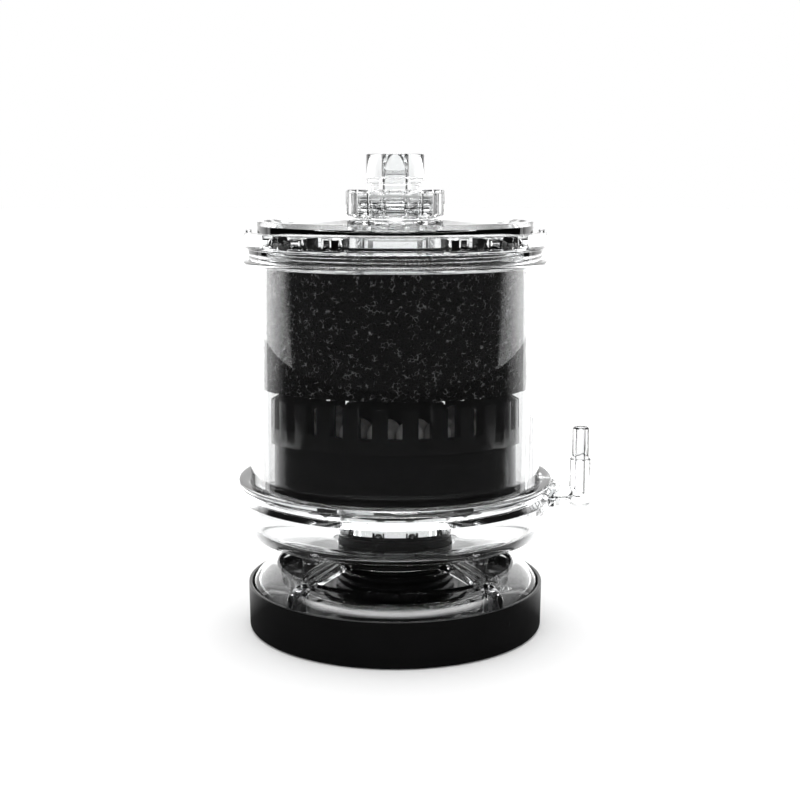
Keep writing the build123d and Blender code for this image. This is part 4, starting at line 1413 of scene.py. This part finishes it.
    def build_foam(self) -> None:
        """Shapes the foam ring: a closed ring whose skin is torn into open cells."""
        shop = self.bench.shop
        radius, low, high = extent("foam_ring")
        bore = extent("riser_tube")[0] + self.foam_gap
        skin, rows, inward = self.foam_skin, self.foam_rows, self.foam_inward
        outer = radius - skin
        outline = [(outer, low + skin + (high - low - 2 * skin) * k / rows) for k in range(rows + 1)]
        top = high - skin
        outline += [(outer - (outer - bore - skin) * k / inward, top) for k in range(1, inward)]
        outline += [(bore + skin, top), (bore + skin, low + skin)]
        outline += [(outer - (outer - bore) * k / inward, low + skin) for k in range(inward - 1, 0, -1)]
        foam = shop.turn("foam_ring_finished", outline, self.foam_steps)
        outward = [vertex.normal.copy() for vertex in foam.data.vertices]
        for vertex, normal in zip(foam.data.vertices, outward):
            vertex.co += self.tear(vertex.co, normal, skin)
        shop.settle(foam)
        self.bench.hand_over(foam, "foam", self.body, "foam_ring", crease=180.0)

    @staticmethod
    def tear(place: Vector, normal: Vector, depth: float) -> Vector:
        """How far one point of the foam's skin is moved by the cells at that place.

        Args:
            place: The point.
            normal: The skin's direction there.
            depth: Greatest movement either way.

        Returns:
            The movement.
        """
        cell = noise.voronoi(place * 560.0)[0][0]
        ragged = noise.noise(place * 240.0)
        amount = max(-1.0, min(1.0, 1.5 * (cell - 0.45) + 0.5 * ragged))
        return normal * depth * amount


# ---------------------------------------------------------------- column and lid


@dataclass
class Column:
    """The clear body tube and the lid that closes it."""

    bench: Bench
    outer: float = 44.9 * MM
    wall: float = 3.9 * MM
    steps: int = 192
    tube_edge: float = 0.35 * MM
    lid_edge: float = 0.22 * MM
    bead_bottom: float = 113.4 * MM
    bead_height: float = 1.2 * MM
    hollow: float = 42.0 * MM
    step_wall: float = 2.0 * MM
    plate: float = 1.8 * MM
    plate_outer: float = 124.6 * MM
    plate_inner: float = 126.9 * MM
    lid_tube: float = 15.0 * MM
    lid_tube_wall: float = 1.8 * MM
    window_width: float = 4.6 * MM
    window_height: float = 3.0 * MM
    window_angles: tuple[float, ...] = (22.5, 37.5, 52.5)
    boss: float = 13.0 * MM
    boss_root: float = 12.5 * MM
    boss_pitch: float = 1.5 * MM
    boss_bore: float = 7.45 * MM
    ridge_start: float = 0.3 * MM
    ridge: tuple[float, float] = (0.45 * MM, 1.05 * MM)
    ridge_gap: float = 0.1 * MM
    plug_wall: float = 3.9 * MM
    plug_inset: float = 0.03 * MM
    plug_height: float = 5.0 * MM
    flange_height: float = 4.4 * MM
    step_height: float = 3.4 * MM
    shelf: float = 0.7 * MM
    lid_tube_low: float = 116.5 * MM
    window_rise: float = 2.2 * MM
    window_depth: float = 14.0 * MM
    groove_depth: float = 1.2 * MM
    groove_reach: float = 2.0 * MM
    tab_size: Point = (1.6 * MM, 6.0 * MM, 1.2 * MM)
    tab_rise: float = 4.6 * MM
    guard: tuple[float, float] = (37.2 * MM, 41.8 * MM)
    guard_wall: float = 1.8 * MM
    guard_plate: float = 0.6 * MM
    tooth_width: float = 4.3 * MM
    tooth_inset: float = 0.2 * MM
    tooth_edge: float = 0.3 * MM

    def build(self) -> None:
        """Builds the tube, the lid and the black guard behind its windows."""
        self.build_tube()
        self.build_lid()
        self.build_guard()
        self.bench.show("silicone", "lid_seal")

    def azimuths(self) -> list[float]:
        """Azimuths of the lid's windows: three each side of the front and of the back."""
        return [front + side * angle for front in (90.0, 270.0) for side in (-1, 1)
                for angle in self.window_angles]

    def build_tube(self) -> None:
        """Turns the body tube with its bead."""
        bead, low, high = extent("body_tube")
        outer = self.outer
        inner = outer - self.wall
        half = self.bead_height / 2
        outline = [(inner, low), (outer, low), (outer, self.bead_bottom)]
        outline += arc((bead - half, self.bead_bottom + half), half, -90.0, 90.0, steps=8)
        outline += [(outer, self.bead_bottom + self.bead_height), (outer, high), (inner, high)]
        self.bench.lathe("body_tube", outline, "clear", "tube", self.tube_edge, angle=50.0,
                         steps=self.steps)

    def lid_outline(self) -> Outline:
        """Section of the lid: plug, windowed flange, raised ring, sloping plate and boss."""
        low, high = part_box("lid")
        flange = high.y
        plug = extent("lid_seal")[0] - self.plug_inset
        flange_low = low.z + self.plug_height
        flange_top = flange_low + self.flange_height
        step_top = flange_top + self.step_height
        shelf = flange_low + self.shelf
        under, ceiling = self.plate_outer - self.plate, self.plate_inner - self.plate
        root, boss, hollow = self.boss_root, self.boss, self.hollow
        step_inner, plug_inner = hollow - self.step_wall, plug - self.plug_wall
        outline = [
            (plug_inner, low.z), (plug, low.z), (plug, flange_low), (flange, flange_low),
            (flange, flange_top), (hollow, flange_top), (hollow, step_top), (step_inner, step_top),
            (step_inner, self.plate_outer + self.ridge_gap), (root, self.plate_inner),
        ]
        ridges = int((high.z - self.plate_inner) / self.boss_pitch)
        for turn in range(ridges):
            start = self.plate_inner + self.ridge_start + turn * self.boss_pitch
            outline += [(root, start), *[(boss, start + rise) for rise in self.ridge],
                        (root, start + self.boss_pitch - self.ridge_gap)]
        outer, inner = self.lid_tube, self.lid_tube - self.lid_tube_wall
        return outline + [
            (root, high.z), (self.boss_bore, high.z), (self.boss_bore, ceiling), (inner, ceiling),
            (inner, self.lid_tube_low), (outer, self.lid_tube_low), (outer, ceiling),
            (hollow, under), (hollow, shelf), (plug_inner, shelf),
        ]

    def build_lid(self) -> None:
        """Turns the lid, mills its windows and adds the two finger tabs."""
        shop = self.bench.shop
        lid = shop.turn("lid_finished", self.lid_outline(), self.steps)
        low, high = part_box("lid")
        flange_low = low.z + self.plug_height
        tool = shop.block("window_tool", (self.window_depth, self.window_width, self.window_height),
                          (high.y, 0.0, flange_low + self.window_rise))
        shop.mill(lid, shop.pattern(tool, self.azimuths()))
        seal, groove_low, groove_high = extent("lid_seal")
        shop.mill(lid, shop.turn("groove", ring(seal - self.groove_depth, seal + self.groove_reach,
                                                groove_low - SEAL_GAP, groove_high + SEAL_GAP)))
        tab = shop.block("tab", self.tab_size,
                         (high.y - self.tab_size[0], 0.0, flange_low + self.tab_rise))
        shop.mill(lid, shop.pattern(tab, around(2)), Cut.JOIN)
        shop.round_edges(lid, self.lid_edge, segments=2)
        self.bench.hand_over(lid, "clear", "lid_unit", "lid")

    def build_guard(self) -> None:
        """Turns the guard's thin ring and stands a block behind every window."""
        shop = self.bench.shop
        low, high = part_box("window_guard")
        inner, outer = self.guard
        guard = shop.turn("window_guard_finished",
                          ring(inner, inner + self.guard_wall, low.z, low.z + self.guard_plate))
        tooth = shop.block("tooth", (outer - inner - self.tooth_inset, self.tooth_width,
                                     high.z - low.z),
                           ((inner + outer) / 2, 0.0, (low.z + high.z) / 2), edge=self.tooth_edge)
        shop.mill(guard, shop.pattern(tooth, self.azimuths()), Cut.JOIN)
        self.bench.hand_over(guard, "black", "lid_unit", "window_guard")


@dataclass
class Outlet:
    """Fluted ring nut and the double-walled nozzle that it holds."""

    bench: Bench
    flutes: int = 18
    flute: float = 1.1 * MM
    flute_run: float = 1.0 * MM
    plate: float = 1.3 * MM
    thread: float = 13.08 * MM
    hole: float = 7.45 * MM
    nut_edge: float = 0.6 * MM
    nut_rounding: float = 0.25 * MM
    bore: float = 3.2 * MM
    neck: float = 7.37 * MM
    flange: float = 11.0 * MM
    cup: float = 8.8 * MM
    wall: float = 1.1 * MM
    core_wall: float = 1.0 * MM
    cup_floor: float = 1.4 * MM
    flange_low: float = 132.3 * MM
    cup_low: float = 137.7 * MM
    nozzle_rounding: float = 0.22 * MM

    def build(self) -> None:
        """Builds the nut and the nozzle."""
        self.build_nut()
        self.build_nozzle()
        self.bench.show("silicone", "nozzle_seal")
        self.bench.show("washer", "nut_washer")

    def build_nut(self) -> None:
        """Turns the ring nut and mills its flutes."""
        shop = self.bench.shop
        radius, low, high = extent("ring_nut")
        thread, hole, edge = self.thread, self.hole, self.nut_edge
        nut = shop.turn("ring_nut_finished", [
            (thread, low), (radius - edge, low), (radius, low + edge), (radius, high - edge),
            (radius - edge, high), (hole, high), (hole, high - self.plate), (thread, high - self.plate),
        ])
        tool = shop.rod("flute", self.flute, (radius + self.flute / 2, 0.0, low - self.flute_run),
                        high - low + 2 * self.flute_run, steps=32)
        shop.mill(nut, shop.pattern(tool, around(self.flutes)))
        shop.round_edges(nut, self.nut_rounding)
        self.bench.hand_over(nut, "clear", "nut", "ring_nut")

    def build_nozzle(self) -> None:
        """Turns the nozzle: sealed neck, flange, outer cup and inner spout."""
        _, low, high = extent("outlet_nozzle")
        bore, neck, flange, cup, wall = self.bore, self.neck, self.flange, self.cup, self.wall
        flange_low, cup_low = self.flange_low, self.cup_low
        floor, core = cup_low + self.cup_floor, bore + self.core_wall
        groove_low, groove_high = extent("nozzle_seal")[1:]
        groove_low, groove_high = groove_low - SEAL_GAP, groove_high + SEAL_GAP
        outline = [
            (bore, low), (neck, low), (neck, groove_low), (neck - wall, groove_low),
            (neck - wall, groove_high), (neck, groove_high), (neck, flange_low),
            (flange, flange_low), (flange, flange_low + wall), (neck, flange_low + wall),
            (neck, cup_low), (cup, cup_low), (cup, high), (cup - wall, high), (cup - wall, floor),
            (core, floor), (core, high), (bore, high),
        ]
        self.bench.lathe("outlet_nozzle", outline, "clear", "nozzle", self.nozzle_rounding)


# ---------------------------------------------------------------- studio


@dataclass
class Studio:
    """White backdrop and pale floor, a darker surround for reflections, and soft lamps."""

    camera_distance: float = 0.4177
    camera_height: float = 0.1394
    camera_pitch: float = 9.3
    lens: float = 61.2
    sideways: float = 0.006
    backdrop: float = 1.0
    fill: float = 1.12
    front_surround: float = 0.02
    rear_surround: float = 1.3
    overhead: float = 6.0
    rear_band: tuple[float, float] = (0.58, 0.74)
    overhead_band: tuple[float, float] = (0.66, 0.84)
    floor_radius: float = 6.0
    floor_change: float = 0.12

    def build(self) -> None:
        """Sets the camera, the floor, the surround and the lamps."""
        self.build_camera()
        self.build_floor()
        self.build_surround()
        self.build_lamps()

    def build_camera(self) -> None:
        """Places the camera in front of the skimmer, a little above its middle."""
        data = bpy.data.cameras.new("camera")
        data.lens = self.lens
        data.sensor_width = 36.0
        data.shift_x = self.sideways
        data.clip_start = 0.01
        camera = bpy.data.objects.new("camera", data)
        camera.location = (0.0, -self.camera_distance, self.camera_height)
        camera.rotation_euler = (radians(90.0 - self.camera_pitch), 0.0, 0.0)
        bpy.context.scene.collection.objects.link(camera)
        bpy.context.scene.camera = camera

    def build_floor(self) -> None:
        """Lays a large pale floor, which reflections see as dark in front and pale behind."""
        Workshop.deselect()
        bpy.ops.mesh.primitive_circle_add(vertices=96, radius=self.floor_radius, fill_type="NGON")
        floor = bpy.context.object
        floor.name = "floor"
        canvas = Canvas("pale_floor")
        place = canvas.put("ShaderNodeTexCoord")
        cloud = canvas.put("ShaderNodeTexNoise", Scale=3.0, Detail=2.0)
        path = canvas.put("ShaderNodeLightPath")
        canvas.join(place.outputs["Object"], cloud.inputs["Vector"])
        pale = canvas.shade(cloud.outputs["Fac"], (0.91, 0.91, 0.91), (0.93, 0.93, 0.93))
        reflected = canvas.span(path.outputs["Glossy Depth"], 0.0, 1.0, 0.0, 1.0)
        depth = canvas.put("ShaderNodeSeparateXYZ")
        canvas.join(place.outputs["Object"], depth.inputs["Vector"])
        rear = canvas.span(depth.outputs["Y"], 0.0, 1.0, 0.0, self.floor_change)
        mix = canvas.put("ShaderNodeMix", data_type="RGBA")
        canvas.join(canvas.shade(rear, (0.03, 0.03, 0.03), (0.8, 0.8, 0.8)), mix.inputs[7])
        canvas.join(reflected, mix.inputs[0])
        canvas.join(pale, mix.inputs[6])
        canvas.join(mix.outputs[2], canvas.shader.inputs["Base Color"])
        canvas.shader.inputs["Roughness"].default_value = 0.9
        canvas.shader.inputs["Specular IOR Level"].default_value = 0.0
        floor.data.materials.append(canvas.material)

    def build_surround(self) -> None:
        """Lights the surround: white to look at; in reflections, dark but for above and behind."""
        world = bpy.data.worlds.new("surround")
        bpy.context.scene.world = world
        world.use_nodes = True
        nodes, link = world.node_tree.nodes, world.node_tree.links.new
        background = nodes["Background"]
        background.inputs["Color"].default_value = (1.0, 1.0, 1.0, 1.0)
        place = nodes.new("ShaderNodeTexCoord")
        split = nodes.new("ShaderNodeSeparateXYZ")
        path = nodes.new("ShaderNodeLightPath")
        total = nodes.new("ShaderNodeMath")
        choice = nodes.new("ShaderNodeMix")
        link(place.outputs["Generated"], split.inputs["Vector"])
        link(path.outputs["Glossy Depth"], choice.inputs[0])
        link(total.outputs["Value"], choice.inputs[3])
        link(choice.outputs[0], background.inputs["Strength"])
        ramps = (
            (split.outputs["Y"], self.rear_band, (self.front_surround, self.rear_surround),
             total.inputs[0]),
            (split.outputs["Z"], self.overhead_band, (0.0, self.overhead), total.inputs[1]),
            (path.outputs["Diffuse Depth"], (0.0, 1.0), (self.backdrop, self.fill),
             choice.inputs[2]),
        )
        for value, (start, stop), (low, high), target in ramps:
            ramp = nodes.new("ShaderNodeMapRange")
            ramp.inputs["From Min"].default_value = start
            ramp.inputs["From Max"].default_value = stop
            ramp.inputs["To Min"].default_value = low
            ramp.inputs["To Max"].default_value = high
            link(value, ramp.inputs["Value"])
            link(ramp.outputs["Result"], target)

    def build_lamps(self) -> None:
        """Hangs a soft lamp overhead and a tall, narrow soft lamp at each side."""
        self.lamp("top_light", (0.0, 0.1, 0.9), (0.5, 0.5), 2.5)
        for name, side in (("left_light", -0.53), ("right_light", 0.53)):
            self.lamp(name, (side, 0.36, 0.2), (0.06, 0.5), 0.12)

    @staticmethod
    def lamp(name: str, place: Point, size: tuple[float, float], power: float) -> None:
        """Adds one soft lamp that faces the skimmer.

        Args:
            name: Name of the lamp.
            place: Where it hangs.
            size: Its width and height.
            power: Its power in watts.
        """
        data = bpy.data.lights.new(name, "AREA")
        data.shape = "RECTANGLE"
        data.size, data.size_y = size
        data.energy = power
        lamp = bpy.data.objects.new(name, data)
        lamp.location = place
        aim = Vector((0.0, 0.0, 0.08)) - Vector(place)
        lamp.rotation_euler = aim.to_track_quat("-Z", "Y").to_euler()
        bpy.context.scene.collection.objects.link(lamp)


def main() -> None:
    """Builds the skimmer's sub-assemblies and the studio, in order."""
    bpy.context.scene.view_settings.view_transform = "Standard"
    bench = Bench(Workshop(), Finishes())
    for part in (Stand(bench), BowlUnit(bench), Cartridge(bench), Column(bench), Outlet(bench)):
        log.info("building %s", type(part).__name__)
        part.build()
    Studio().build()


if __name__ == "__main__":
    main()
